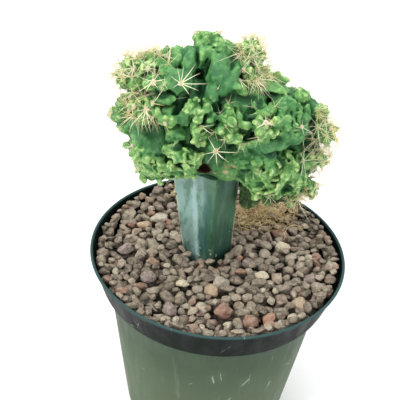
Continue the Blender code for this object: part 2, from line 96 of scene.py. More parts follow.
class Finish:
    """A finish in the making. Each method adds a shader node and gives what comes out of it."""

    def __init__(self, name):
        self.look = bpy.data.materials.new(name)
        self.look.use_nodes = True
        self.tree = self.look.node_tree

    def fill(self, made, sockets):
        """Fills inputs with links, numbers, or colours given as they look."""
        for key, value in dict(sockets).items():
            socket = made.inputs[key]
            if isinstance(value, bpy.types.NodeSocket):
                self.tree.links.new(value, socket)
            else:
                socket.default_value = tint(*value) if socket.type == "RGBA" else value

    def node(self, kind, out, sockets=(), **settings):
        made = self.tree.nodes.new("ShaderNode" + kind)
        for key, value in settings.items():
            setattr(made, key, value)
        self.fill(made, sockets)
        return made.outputs[out]

    def place(self, squash=None):
        """Where on the piece, in metres, with its height squashed if so."""
        here = self.node("TexCoord", "Object")
        if not squash:
            return here
        return self.node("Mapping", "Vector", {"Vector": here, "Scale": (1.0, 1.0, squash)})

    def painted(self, name):
        """A value that the mesh carries at each point."""
        return self.node("Attribute", "Fac", attribute_name=name)

    def noise(self, place, scale, detail, roughness=0.5, out="Fac"):
        sockets = {"Vector": place, "Scale": scale, "Detail": detail, "Roughness": roughness}
        return self.node("TexNoise", out, sockets)

    def grain(self, width, detail=4.0, roughness=0.55):
        """Soft noise over the piece, with patches about width metres across."""
        return self.noise(self.place(), 1.0 / width, detail, roughness)

    def cells(self, place, scale, out="Distance", feature="F1"):
        return self.node("TexVoronoi", out, {"Vector": place, "Scale": scale}, feature=feature)

    def ramp(self, share, *stops):
        """Colours (place, red, green, blue) met one after another as the share goes from 0 to 1."""
        colours = self.node("ValToRGB", "Color", {"Fac": share})
        elements = colours.node.color_ramp.elements
        while len(elements) < len(stops):
            elements.new(0.5)
        for element, (place, *colour) in zip(elements, stops):
            element.position = place
            element.color = tint(*colour)
        return colours

    def mixed(self, share, first, second):
        return self.node("Mix", 2, {0: share, 6: first, 7: second}, data_type="RGBA")

    def maths(self, operation, first, second, clamp=False):
        return self.node("Math", 0, {0: first, 1: second}, operation=operation, use_clamp=clamp)

    def times(self, first, second, clamp=False):
        return self.maths("MULTIPLY", first, second, clamp)

    def between(self, value, low, high, start=0.0, end=1.0):
        """A value eased from start to end as it passes from low to high."""
        sockets = {"Value": value, "From Min": low, "From Max": high, "To Min": start, "To Max": end}
        return self.node("MapRange", "Result", sockets, interpolation_type="SMOOTHSTEP")

    def relief(self, height, depth, under=None):
        """The bumpy surface of a height from 0 to 1, so many metres deep, over another if so."""
        sockets = {"Height": height, "Distance": depth, "Strength": 1.0}
        return self.node("Bump", "Normal", {**sockets, "Normal": under} if under else sockets)

    def wear(self, colour, roughness, surface=None, numbers=()):
        """Gives the shader its colour, roughness, bumps and other numbers, and hands over the finish."""
        shader = self.tree.nodes["Principled BSDF"]
        self.fill(shader, {"Base Color": colour, "Roughness": roughness, **dict(numbers)})
        if surface:
            self.fill(shader, {"Normal": surface})
        return self.look


def add_light(name, place, aim, size, power, colour):
    lamp = bpy.data.lights.new(name, "AREA")
    lamp.shape = "DISK"
    lamp.size = size
    lamp.energy = power
    lamp.color = colour
    made = bpy.data.objects.new(name, lamp)
    made.location = place
    made.rotation_euler = (Vector(aim) - Vector(place)).to_track_quat("-Z", "Y").to_euler()
    bpy.context.scene.collection.objects.link(made)


add_light("window_left", (-0.55, -0.35, 0.75), (0, 0, 0.1), 0.7, 8.0, (1.0, 0.985, 0.96))
add_light("window_right", (0.7, -0.25, 0.5), (0, 0, 0.1), 0.8, 3.0, (0.96, 0.98, 1.0))
add_light("ceiling", (0.0, 0.35, 0.9), (0, 0, 0.08), 0.9, 5.0, (1.0, 1.0, 1.0))

world = bpy.data.worlds.new("room")
world.use_nodes = True
room_light = world.node_tree.nodes["Background"]
room_light.inputs["Color"].default_value = (1.0, 1.0, 1.0, 1.0)
room_light.inputs["Strength"].default_value = 0.72
bpy.context.scene.world = world

FLOOR_REACH = 3.0
paint = Finish("white_table")
speckled = paint.ramp(paint.grain(0.02, 3.0), (0.3, 247, 247, 247), (0.7, 249.3, 249.3, 249.3))
table_look = paint.wear(speckled, 0.9, numbers={"Specular IOR Level": 0.07})
bm = bmesh.new()
bmesh.ops.create_grid(bm, x_segments=8, y_segments=8, size=FLOOR_REACH)
table_mesh = bpy.data.meshes.new("white_table")
bm.to_mesh(table_mesh)
bm.free()
table_mesh.materials.append(table_look)
white_table = bpy.data.objects.new("white_table", table_mesh)
bpy.context.scene.collection.objects.link(white_table)


# ------------------------------------------------------------------ pot
# A soft round nursery pot, blown or moulded in one piece of thin dark grey-green plastic: a
# rolled lip, a plain collar that stands out a little, and a tapered wall with drain holes below.

POT_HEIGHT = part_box("pot")[1].z
RIM_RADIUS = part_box("pot")[1].x
POT_WALL = 1.3 * MM
BASE_RADIUS = 37.0 * MM
WALL_TOP_RADIUS = 45.0 * MM
COLLAR_HEIGHT = 14.3 * MM
COLLAR_FOOT_RADIUS = 48.2 * MM
LIP_RADIUS = 0.55 * MM
COLLAR_WALL = 1.0 * MM
CHANNEL_INNER = 17.0 * MM
CHANNEL_OUTER = 31.0 * MM
CHANNEL_RISE = 2.0 * MM
CHANNEL_SLOPE = 1.5 * MM
DRAIN_HOLES = 8
DRAIN_RADIUS = 4.0 * MM
POT_SEGMENTS = 144
FLOOR_FILLET = 1.2 * MM  # inside and outside, where the floor meets the wall
COLLAR_FILLET = 0.6 * MM
BREAK = 0.3 * MM  # how far the corners between wall and collar are eased
WALL_RINGS = (58, 44, 30, 16)  # heights in millimetres
COLLAR_SHADE_BAND = (71.5 * MM, 72.0 * MM)  # the collar's painted shade, almost black, comes in between these heights
LIP_HIGHLIGHT_BAND = (84.9 * MM, 85.7 * MM)  # and the lip's painted highlight, a paler line, between these


def arc(centre, radius, start, end, steps):
    """Points of (radius, height) along an arc, angles in degrees from straight out."""
    angles = [math.radians(start + (end - start) * i / steps) for i in range(steps + 1)]
    return [(centre[0] + radius * math.cos(a), centre[1] + radius * math.sin(a)) for a in angles]


def turned(profile, segments):
    """A bmesh of a profile of (radius, height) points turned round the upright axis."""
    bm = bmesh.new()
    points = [bm.verts.new((radius, 0.0, height)) for radius, height in profile]
    edges = [bm.edges.new(pair) for pair in zip(points, points[1:])]
    bmesh.ops.spin(
        bm,
        geom=points + edges,
        cent=(0.0, 0.0, 0.0),
        axis=(0.0, 0.0, 1.0),
        angle=2.0 * math.pi,
        steps=segments,
        use_merge=True,
    )
    bmesh.ops.remove_doubles(bm, verts=bm.verts, dist=0.001 * MM)
    return bm


def piece_of(name, bm, look, crisp=40.0):
    """A piece of the object from a bmesh, smooth but for edges sharper than so many degrees."""
    bmesh.ops.recalc_face_normals(bm, faces=bm.faces)
    mesh = bpy.data.meshes.new(name)
    bm.to_mesh(mesh)
    bm.free()
    mesh.shade_smooth()
    mesh.set_sharp_from_angle(angle=math.radians(crisp))
    mesh.materials.append(look)
    made = bpy.data.objects.new(name, mesh)
    bpy.context.scene.collection.objects.link(made)
    return made


def wall_radius(height):
    return BASE_RADIUS + (WALL_TOP_RADIUS - BASE_RADIUS) * height / (POT_HEIGHT - COLLAR_HEIGHT)


def collar_radius(height):
    rise = (height - (POT_HEIGHT - COLLAR_HEIGHT)) / (COLLAR_HEIGHT - LIP_RADIUS)
    return COLLAR_FOOT_RADIUS + (RIM_RADIUS - LIP_RADIUS - COLLAR_FOOT_RADIUS) * rise


def floor_profile(rise):
    return [
        (0.0, rise),
        (CHANNEL_INNER, rise),
        (CHANNEL_INNER + CHANNEL_SLOPE, rise + CHANNEL_RISE),
        (CHANNEL_OUTER, rise + CHANNEL_RISE),
        (CHANNEL_OUTER + CHANNEL_SLOPE, rise),
    ]


def pot_profile():
    step = POT_HEIGHT - COLLAR_HEIGHT
    shelf = step + POT_WALL
    lip = (RIM_RADIUS - LIP_RADIUS, POT_HEIGHT - LIP_RADIUS)
    inner = wall_radius(shelf) - POT_WALL
    corner = (wall_radius(0) - POT_WALL - FLOOR_FILLET, POT_WALL + FLOOR_FILLET)
    profile = floor_profile(POT_WALL) + arc(corner, FLOOR_FILLET, -90, -10, 4)
    profile += [(inner, shelf - BREAK), (inner + 0.4 * MM, shelf)]
    profile += [(collar_radius(shelf) - COLLAR_WALL, shelf), (lip[0] - LIP_RADIUS, lip[1])]
    profile += arc(lip, LIP_RADIUS, 165, -65, 12)
    profile += [(collar_radius(height), height) for height in (lip[1] - 2.2 * MM, step + 1.6 * MM)]
    profile += arc((COLLAR_FOOT_RADIUS - 0.55 * MM, step + COLLAR_FILLET), COLLAR_FILLET, 0, -90, 4)
    profile += [(wall_radius(step) + BREAK, step), (wall_radius(step), step - BREAK)]
    profile += [(wall_radius(height * MM), height * MM) for height in WALL_RINGS]
    profile += arc((BASE_RADIUS - FLOOR_FILLET, FLOOR_FILLET), FLOOR_FILLET, 0, -90, 5)
    return profile + floor_profile(0.0)[::-1]


def drill_drain_holes(pot):
    holes = bmesh.new()
    reach = (CHANNEL_INNER + CHANNEL_OUTER + CHANNEL_SLOPE) / 2
    for i in range(DRAIN_HOLES):
        angle = 2.0 * math.pi * (i + 0.5) / DRAIN_HOLES
        place = Matrix.Translation((reach * math.cos(angle), reach * math.sin(angle), 0.0))
        size = {"radius1": DRAIN_RADIUS, "radius2": DRAIN_RADIUS, "depth": 10 * POT_WALL}
        bmesh.ops.create_cone(holes, cap_ends=True, segments=40, matrix=place, **size)
    drill = piece_of("drill", holes, pot.data.materials[0])
    boolean = pot.modifiers.new("drain_holes", "BOOLEAN")
    boolean.solver = "EXACT"
    boolean.object = drill
    bpy.context.view_layer.update()
    graph = bpy.context.evaluated_depsgraph_get()
    drilled = bpy.data.meshes.new_from_object(pot.evaluated_get(graph))
    pot.modifiers.clear()
    pot.data = drilled
    bpy.data.objects.remove(drill)


def pot_plastic():
    """Dark grey-green plastic, dusty and scuffed, painted darker up the wall and almost black on the collar
    as shade, with a painted highlight along the lip.
    """
    f = Finish("pot_plastic")
    height = f.node("SeparateXYZ", "Z", {"Vector": f.place()})
    up = f.between(height, 0.0, POT_HEIGHT)
    # painted shade: the wall is lighter low down and darker up towards the collar
    wall = f.ramp(up, (0.0, 88, 100, 80), (0.45, 80, 93, 74), (0.8, 66, 80, 64), (1.0, 56, 70, 60))
    in_collar_shade = f.between(height, *COLLAR_SHADE_BAND)
    # painted shade: the collar is almost black
    collar = f.mixed(in_collar_shade, wall, (8, 16, 14))
    # painted highlight: a paler line along the lip
    lip = f.mixed(f.between(height, *LIP_HIGHLIGHT_BAND), collar, (54, 78, 77))
    streaks = f.noise(f.place(0.12), 260.0, 6.0, 0.6)
    kept = f.between(in_collar_shade, 0.0, 1.0, 1.0, 0.1)
    dusty = f.mixed(f.times(f.between(streaks, 0.55, 0.8, 0.0, 0.22), kept), lip, (150, 156, 146))
    cloud = f.grain(18 * MM, 5.0)
    clouded = f.mixed(f.times(f.between(cloud, 0.4, 0.75, 0.0, 0.3), kept), dusty, (84, 104, 80))
    scratches = f.cells(f.place(0.25), 90.0, feature="DISTANCE_TO_EDGE")
    scuffs = f.times(f.between(scratches, 0.0, 0.012, 0.5, 0.0), f.between(f.grain(9 * MM, 2.0), 0.58, 0.68))
    scuffed = f.mixed(scuffs, clouded, (176, 184, 176))
    pebble = f.relief(f.grain(0.7 * MM, 3.0), 0.035 * MM)
    matt = f.between(streaks, 0.3, 0.75, 0.38, 0.6)
    return f.wear(scuffed, matt, f.relief(cloud, 0.5 * MM, pebble), {"Specular IOR Level": 0.04})


pot = piece_of("pot_shell", turned(pot_profile(), POT_SEGMENTS), pot_plastic(), 50.0)
drill_drain_holes(pot)
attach(pot, "root")
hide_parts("pot")


# ------------------------------------------------------------------ potting mix
# A peat and fine pumice mix fills the pot under the stone dressing. Only a little of it shows,
# through the drain holes, so its own solid stays and takes a crumbly finish.


def peat():
    f = Finish("potting_mix")
    tone = f.node("SeparateColor", 0, {"Color": f.cells(f.place(), 700.0, "Color")})
    crumbs = f.ramp(tone, (0.0, 48, 36, 28), (0.5, 74, 56, 42), (0.86, 98, 78, 60), (0.95, 196, 186, 166))
    lumps = f.maths("SUBTRACT", 1.0, f.cells(f.place(), 700.0))
    return f.wear(f.mixed(f.grain(4 * MM), crumbs, (40, 30, 24)), 0.95, f.relief(lumps, 0.9 * MM))


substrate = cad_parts["substrate"]
substrate.data.materials.clear()
substrate.data.materials.append(peat())


# ------------------------------------------------------------------ stone dressing
# Crushed lava, three to seven millimetres across, poured over the mix to about five millimetres
# below the lip. Each stone is dropped where it lies lowest, so they pack as poured stones do.

GRAVEL_LEVEL = -3.3  # usual top of the stones, millimetres from the pot's mouth
GRAVEL_LEAN = (0.022, 0.004)  # rising to the right, and a little to the back
GRAVEL_FLOOR = -13.5  # nothing shows below this
WALL_RISE = 3.4  # how much higher the stones lie against the pot
WALL_STARTS = 0.86  # where they begin to rise, as a share of the way out to the pot
WALL_FLOOR = -6.5  # the stones against the pot lie on those below, from here up
CLOSED = 50.0  # height that keeps stones out of the pot's wall and the stem
# Heaps and dips in the gravel: place, reach and rise
HEAPS = ((-30.0, 35.0, 9.0, 2.6), (-4.0, -7.0, 6.0, -2.0))
POCKET = 0.4  # spacing of the heights that the stones are dropped on
DROPS = 6400
TRIES = 9  # places tried for each stone
TYPICAL = 2.05  # half width of a usual stone
SMALLEST, LARGEST = 1.2, 3.3
SINK = 0.3  # share of its half height that a stone settles among those below
TOO_HIGH = 0.8  # a stone that would stand further than this over the level wanted is left out
SEEN_DEPTH = 5.5  # only stones this near to the level wanted are made
STOCK_AXIS = (-5.2, 7.0)
STOCK_REACH = 11.2

BED_RADIUS = (collar_radius(mouth.z - 2.5 * MM) - COLLAR_WALL) / MM
marks = np.arange(-BED_RADIUS - 3.0, BED_RADIUS + 3.0, POCKET)
heights = np.full((len(marks), len(marks)), GRAVEL_FLOOR)
column, row = np.meshgrid(marks, marks, indexing="ij")
heights[np.hypot(column, row) > BED_RADIUS - 4.0] = WALL_FLOOR
heights[np.hypot(column, row) > BED_RADIUS + 0.3] = CLOSED
heights[np.hypot(column - STOCK_AXIS[0], row - STOCK_AXIS[1]) < STOCK_REACH - 1.5] = CLOSED


def wanted_level(x, y):
    heaped = 0.0
    for heap_x, heap_y, reach, rise in HEAPS:
        heaped += rise * math.exp(-(((x - heap_x) ** 2 + (y - heap_y) ** 2) / reach**2))
    at_wall = max(0.0, math.hypot(x, y) / BED_RADIUS - WALL_STARTS) / 0.14
    return GRAVEL_LEVEL + GRAVEL_LEAN[0] * x + GRAVEL_LEAN[1] * y + heaped + WALL_RISE * at_wall


def footprint(x, y, along, across, up, turn):
    """The patch of heights under a stone, and how far its underside curves up over it."""
    reach = int(along / POCKET) + 2
    i, j = int((x - marks[0]) / POCKET), int((y - marks[0]) / POCKET)
    patch = (slice(max(i - reach, 0), i + reach + 1), slice(max(j - reach, 0), j + reach + 1))
    dx, dy = column[patch] - x, row[patch] - y
    cos, sin = math.cos(turn), math.sin(turn)
    q = ((dx * cos + dy * sin) / along) ** 2 + ((dy * cos - dx * sin) / across) ** 2
    return patch, q < 1.0, up * np.sqrt(np.maximum(1.0 - q, 0.0))


def lay(x, y, z, along, across, up, turn):
    """Raises the heights over a stone that has been laid."""
    patch, under, dome = footprint(x, y, along, across, up, turn)
    heights[patch] = np.where(under, np.maximum(heights[patch], z + dome), heights[patch])


def pour():
    """Drops the stones one after another, each in the lowest of a few places tried."""
    dice = np.random.default_rng(17)
    poured = []
    for _ in range(DROPS):
        size = float(np.clip(dice.lognormal(math.log(TYPICAL), 0.27), SMALLEST, LARGEST))
        along, across, up = size * dice.uniform(1.0, 1.6), size, size * dice.uniform(0.6, 0.95)
        best = None
        for _ in range(TRIES):
            reach = (BED_RADIUS - across) * dice.uniform() ** 0.38
            angle, turn = dice.uniform(0, 2 * math.pi), dice.uniform(0, math.pi)
            if reach > BED_RADIUS - along:
                turn = angle + math.pi / 2
            x, y = reach * math.cos(angle), reach * math.sin(angle)
            patch, under, dome = footprint(x, y, along, across, up, turn)
            z = (heights[patch][under] + dome[under]).max() - SINK * up
            over = z + up - wanted_level(x, y)
            if best is None or over < best[0]:
                best = (over, x, y, z, turn)
        over, x, y, z, turn = best
        if over > TOO_HIGH:
            continue
        lay(x, y, z, along, across, up, turn)
        poured.append((x, y, z, along, across, up, turn))
    return [stone for stone in poured if stone[2] + stone[5] > wanted_level(*stone[:2]) - SEEN_DEPTH]


FACETS = 9  # broken faces of a stone
ROUND_REACH = 1.12  # how far a stone reaches where no face has broken off
TIP = 0.35  # radians that a stone may be tipped by either way


def ball(subdivisions):
    bm = bmesh.new()
    bmesh.ops.create_icosphere(bm, subdivisions=subdivisions, radius=1.0)
    points = np.array([vert.co for vert in bm.verts])
    faces = np.array([[vert.index for vert in face.verts] for face in bm.faces])
    bm.free()
    return points, faces


def broken(points, dice, crisp=26.0, roughness=0.16):
    """A ball's points drawn in to the flat faces of a crushed stone, with a pitted skin."""
    cuts = dice.normal(size=(FACETS, 3))
    cuts /= np.linalg.norm(cuts, axis=1, keepdims=True)
    facing = np.maximum(points @ cuts.T, 0.0) / dice.uniform(0.58, 1.0, FACETS)
    reach = ((facing**crisp).sum(axis=1) + (1.0 / ROUND_REACH) ** crisp) ** (-1.0 / crisp)
    start = Vector(dice.uniform(0, 50, 3))
    places = [Vector(point) for point in points]
    skin = [noise.noise(2.3 * place + start) + 0.5 * noise.noise(5.1 * place + start) for place in places]
    return points * (reach * (1.0 + roughness * np.array(skin)))[:, None]


def tipped(dice, turn):
    """A turn about the upright axis, and a small tip to either side as the stone comes to rest."""
    spin = Matrix.Rotation(turn, 3, "Z") @ Matrix.Rotation(dice.uniform(-TIP, TIP), 3, "X")
    return np.array(spin @ Matrix.Rotation(dice.uniform(-TIP, TIP), 3, "Y"))


def from_mouth(points):
    """Places in metres, of points in millimetres from the middle of the pot's mouth."""
    return np.asarray(points) * MM + np.array(mouth)


def mesh_piece(name, points, faces, look, **values):
    """A piece from its points and faces in metres, with the values that its finish reads."""
    mesh = bpy.data.meshes.new(name)
    mesh.from_pydata(points, [], faces)
    for key, numbers in values.items():
        layer = mesh.attributes.new(key, "FLOAT", "POINT")
        layer.data.foreach_set("value", np.asarray(numbers, np.float32))
    mesh.shade_smooth()
    mesh.materials.append(look)
    made = bpy.data.objects.new(name, mesh)
    bpy.context.scene.collection.objects.link(made)
    return made


def lava(name, tones, amount=1.0):
    """Porous lava: each stone its own tone, mottled and pitted all over, with painted shade in the pits and
    painted light on the faces that look up.
    """
    f = Finish(name)
    mottle = f.grain(1.6 * MM, 6.0, 0.7)
    shade = f.maths("ADD", f.painted("tone"), f.times(f.maths("SUBTRACT", mottle, 0.5), 0.9))
    rusty = f.mixed(f.times(f.painted("rust"), amount), f.ramp(shade, *tones), (158, 104, 82))
    pits = f.cells(f.place(), 1500.0)
    # painted shade: the pits are darker than the stone round them
    pore_shaded = f.mixed(f.between(pits, 0.05, 0.4, 0.55, 0.0), rusty, (58, 46, 40))
    # painted light: faces that look up are painted paler
    up = f.node("SeparateXYZ", "Z", {"Vector": f.node("NewGeometry", "Normal")})
    lit_tops = f.times(f.between(up, 0.35, 0.95), f.between(mottle, 0.4, 0.65, 0.05, 0.4))
    rough = f.relief(mottle, 0.5 * MM, f.relief(f.between(pits, 0.0, 0.35), 0.25 * MM))
    return f.wear(f.mixed(lit_tops, pore_shaded, (186, 172, 156)), 0.92, rough, {"Specular IOR Level": 0.25})


LAVA_TONES = (
    (0.0, 66, 60, 52), (0.3, 104, 94, 82), (0.55, 134, 124, 108), (0.8, 160, 150, 132), (1.0, 190, 182, 164),
)
lava_look = lava("lava_gravel", LAVA_TONES)


def stones_piece(name, stones, points, faces, dice):
    """One mesh of many stones, each broken in its own way."""
    all_points, all_faces, tones, rusts = [], [], [], []
    for count, (x, y, z, along, across, up, turn) in enumerate(stones):
        shape = broken(points, dice) * (along, across, up)
        all_points.append(shape @ tipped(dice, turn).T + (x, y, z))
        all_faces.append(faces + count * len(points))
        tones.append(np.full(len(points), np.clip(dice.normal(0.5, 0.2), 0.05, 0.95)))
        rusts.append(np.full(len(points), max(0.0, dice.normal(-0.4, 0.42))))
    placed, faces = from_mouth(np.concatenate(all_points)), np.concatenate(all_faces)
    values = {"tone": np.concatenate(tones), "rust": np.clip(np.concatenate(rusts), 0, 0.8)}
    made = mesh_piece(name, placed, faces, lava_look, **values)
    made.data.set_sharp_from_angle(angle=math.radians(30))
    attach(made, "root")
    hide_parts("gravel_bed")


# The few bigger or paler stones that lie proud of the rest, where their solids are
PROUD_TURNS = (20, -35, 10, 60, -15, 25, -30, 0, 40, -20, 15, 70, -50, 30, -10, 55, 5, -25)
RUST, CREAM, GREY, TAN = "stone_rust", "stone_cream", "stone_grey", "stone_tan"
PROUD_KINDS = (RUST, CREAM, CREAM, GREY, RUST, TAN, RUST, CREAM, GREY)
PROUD_KINDS += (GREY, TAN, GREY, TAN, GREY, TAN, GREY, GREY, GREY)
PROUD_TONES = {
    RUST: ((0.0, 98, 68, 56), (0.5, 146, 114, 98), (1.0, 178, 152, 134)),
    CREAM: ((0.0, 150, 140, 116), (0.5, 200, 190, 164), (1.0, 232, 226, 206)),
    GREY: ((0.0, 86, 74, 70), (0.5, 134, 120, 114), (1.0, 178, 166, 156)),
    TAN: ((0.0, 118, 94, 72), (0.5, 170, 148, 122), (1.0, 204, 184, 158)),
}
proud_looks = {kind: lava(kind, tones, 0.3) for kind, tones in PROUD_TONES.items()}
proud_points, proud_faces = ball(4)
for number, (turn, kind) in enumerate(zip(PROUD_TURNS, PROUD_KINDS), start=1):
    low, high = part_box(f"stone_{number:02d}")
    middle, half = (low + high) / 2, (high - low) / 2
    turn = math.radians(turn)
    dice = np.random.default_rng(200 + number)
    shape = broken(proud_points, dice, 9.0, 0.12) @ np.array(Matrix.Rotation(turn, 3, "Z")).T
    shape *= np.array(half) / np.abs(shape).max(axis=0)
    values = {"tone": np.full(len(shape), 0.5), "rust": np.zeros(len(shape))}
    name, placed = f"proud_stone_{number:02d}", shape + np.array(middle)
    stone = mesh_piece(name, placed, proud_faces, proud_looks[kind], **values)
    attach(stone, "root")
    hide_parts(f"stone_{number:02d}")
    along, across = max(half.x, half.y), min(half.x, half.y)
    lay(*(middle - mouth) / MM, along / MM, across / MM, half.z / MM, turn)

stones = pour()
stone_points, stone_faces = ball(3)
dice = np.random.default_rng(5)
for name, left in (("gravel_left", True), ("gravel_right", False)):
    side = [stone for stone in stones if (stone[0] < 0) == left]
    stones_piece(name, side, stone_points, stone_faces, dice)

FINES_TOP = mouth.z - 11.0 * MM
FINES_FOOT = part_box("gravel_bed")[0].z + 0.5 * MM
FINES_FOOT_RADIUS = 40.0 * MM


def fines():
    """Crumbs and dust sifted down between the stones, coloured dark as painted shade in the gaps."""
    edge = FINES_TOP - 0.5 * MM
    outermost = collar_radius(edge) - COLLAR_WALL - 0.2 * MM
    rings = [outermost - 1.5 * MM * i for i in range(int(outermost / MM / 1.5))]
    profile = [(0.0, FINES_FOOT), (FINES_FOOT_RADIUS, FINES_FOOT), (outermost, edge)]
    bm = turned(profile + [(ring, FINES_TOP) for ring in rings[1:] + [0.0]], 96)
    for vert in bm.verts:
        if vert.co.z > FINES_TOP - 0.2 * MM:
            vert.co.z += 1.2 * MM * noise.noise(vert.co / (3.0 * MM))
    return piece_of("shaded_gravel_fines", bm, lava("shaded_gravel_fines", ((0.0, 40, 32, 26), (1.0, 110, 92, 78))))


bed = fines()
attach(bed, "root")
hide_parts("gravel_bed")


# ------------------------------------------------------------------ rootstock
# The graft stock: a short length of a blue-green columnar cactus with five ribs, waxy bloom in
# its furrows (its pale grey partly painted light on the lit left side), thin corky ridges, and small spent
# spine pads up each rib.

STEM_RIBS = 5
STEM_STEPS = 150
STEM_RINGS = 60
STEM_BURIED = 26.0
STEM_COLLAR = (-5.2, 7.0, -4.0)  # where it leaves the stones
STEM_COLLAR_RADIUS = 11.5
STEM_COLLAR_TURN = 13.5
GRAFT = (-8.9, 7.0, 35.0)  # middle of the cut face
GRAFT_RADIUS = 15.0
GRAFT_TURN = 22.0
BURIED_TAPER = 0.35  # the buried part narrows by this share of what shows
FACE_HOLLOW = 0.085  # how far a face sinks between two ribs, as a part of the radius
RIB_CRISP = 60  # how sharply the ridge is rounded off, and
RIB_BLUNT = 0.965  # where, as a part of the radius
BEVEL = 1.4  # millimetres below the cut face from which the edge is trimmed back


def share_of(value):
    return min(1.0, max(0.0, value))


def stem_at(height):
    """Middle, rib radius and turn of the stem at a height from the pot's mouth."""
    share = (height - STEM_COLLAR[2]) / (GRAFT[2] - STEM_COLLAR[2])
    bent = max(share, 0.0)
    x = STEM_COLLAR[0] + (GRAFT[0] - STEM_COLLAR[0]) * bent
    widening = min(share, 1.0) * (1.0 if share > 0 else BURIED_TAPER)
    radius = STEM_COLLAR_RADIUS + (GRAFT_RADIUS - STEM_COLLAR_RADIUS) * widening
    turn = STEM_COLLAR_TURN + (GRAFT_TURN - STEM_COLLAR_TURN) * bent
    return (x, STEM_COLLAR[1]), radius, math.radians(turn)


def rib_share(angle):
    """How far out a ribbed outline reaches, and 1 on a rib falling to 0 in a furrow."""
    sector = 2.0 * math.pi / STEM_RIBS
    away = abs((angle + sector / 2) % sector - sector / 2)
    straight = math.cos(sector / 2) / math.cos(sector / 2 - away)
    flat = straight - FACE_HOLLOW * math.sin(math.pi * away / sector) ** 0.8
    reach = -math.log(math.exp(-flat * RIB_CRISP) + math.exp(-RIB_BLUNT * RIB_CRISP)) / RIB_CRISP
    return reach, 1.0 - 2.0 * away / sector


def degrees_left(angle, front):
    """How far round to the left of the front rib a direction lies, in degrees."""
    return math.degrees((front - angle + math.pi) % (2.0 * math.pi) - math.pi)


def bloom_and_light_on(angle, rib, front, height):
    """Where the pale bloom is painted, partly real wax and partly painted light: the lit furrow left of the
    front rib, the lit face beyond it, and the top of the right face, painted lighter against the crest's
    shadow.
    """
    left = degrees_left(angle, front)
    furrow = math.exp(-(((left - 37.0) / 5.0) ** 2))
    face = share_of((left - 26.0) / 14.0) * share_of((150.0 - left) / 30.0)
    beside = math.exp(-(((left - 22.0) / 8.0) ** 2)) * share_of((height - 8.0) / 5.0)
    top = share_of((height - 22.0) / 10.0)
    return 0.75 * furrow + 0.55 * face + 0.45 * beside + 0.1 * (1.0 - rib) + 0.3 * top * (left < -30.0)


def cork_on(angle, rib, front):
    """Corky edge of the ribs: worn off the front one, widest down the right one."""
    right = -degrees_left(angle, front)
    worn = 0.08 if abs(right) < 30.0 else 1.0
    return worn * share_of((rib - (0.93 if 40.0 < right < 110.0 else 0.96)) / 0.03)


def tube(rings, sides):
    """Faces that join rings of so many points, the points numbered ring by ring."""
    faces = []
    for ring in range(rings - 1):
        for i in range(sides):
            a, b = ring * sides + i, ring * sides + (i + 1) % sides
            faces.append((a, b, b + sides, a + sides))
    return faces


def capped_tube(rings, sides):
    last = (rings - 1) * sides
    return tube(rings, sides) + [tuple(range(sides))[::-1], tuple(range(last, last + sides))]


def make_stem():
    points, values = [], {"cork": [], "up": [], "bloom": []}
    buried = np.linspace(-STEM_BURIED - 4.0, -10.0, 8)
    levels = np.concatenate([buried, np.linspace(-8.0, GRAFT[2] - 0.8, STEM_RINGS), [34.7, GRAFT[2]]])
    for ring, height in enumerate(levels):
        middle, radius, turn = stem_at(height)
        trim = 1.0 - 0.035 * max(0.0, (height - GRAFT[2] + BEVEL) / BEVEL) ** 2
        foot = 1.0 if ring else 0.8
        for angle in 2.0 * math.pi * np.arange(STEM_STEPS) / STEM_STEPS:
            reach, rib = rib_share(angle - turn)
            rough = noise.noise(Vector((3 * math.sin(angle), 3 * math.cos(angle), height / 9.0)))
            fine = noise.noise(Vector((14 * math.sin(angle), 14 * math.cos(angle), height / 3.0)))
            reach = radius * reach * trim * (1.0 + 0.012 * rough + 0.003 * fine) * foot
            points.append((middle[0] + reach * math.sin(angle), middle[1] - reach * math.cos(angle), height))
            values["cork"].append(cork_on(angle, rib, turn))
            values["up"].append(height)
            values["bloom"].append(bloom_and_light_on(angle, rib, turn, height))
    return from_mouth(points), capped_tube(len(levels), STEM_STEPS), values


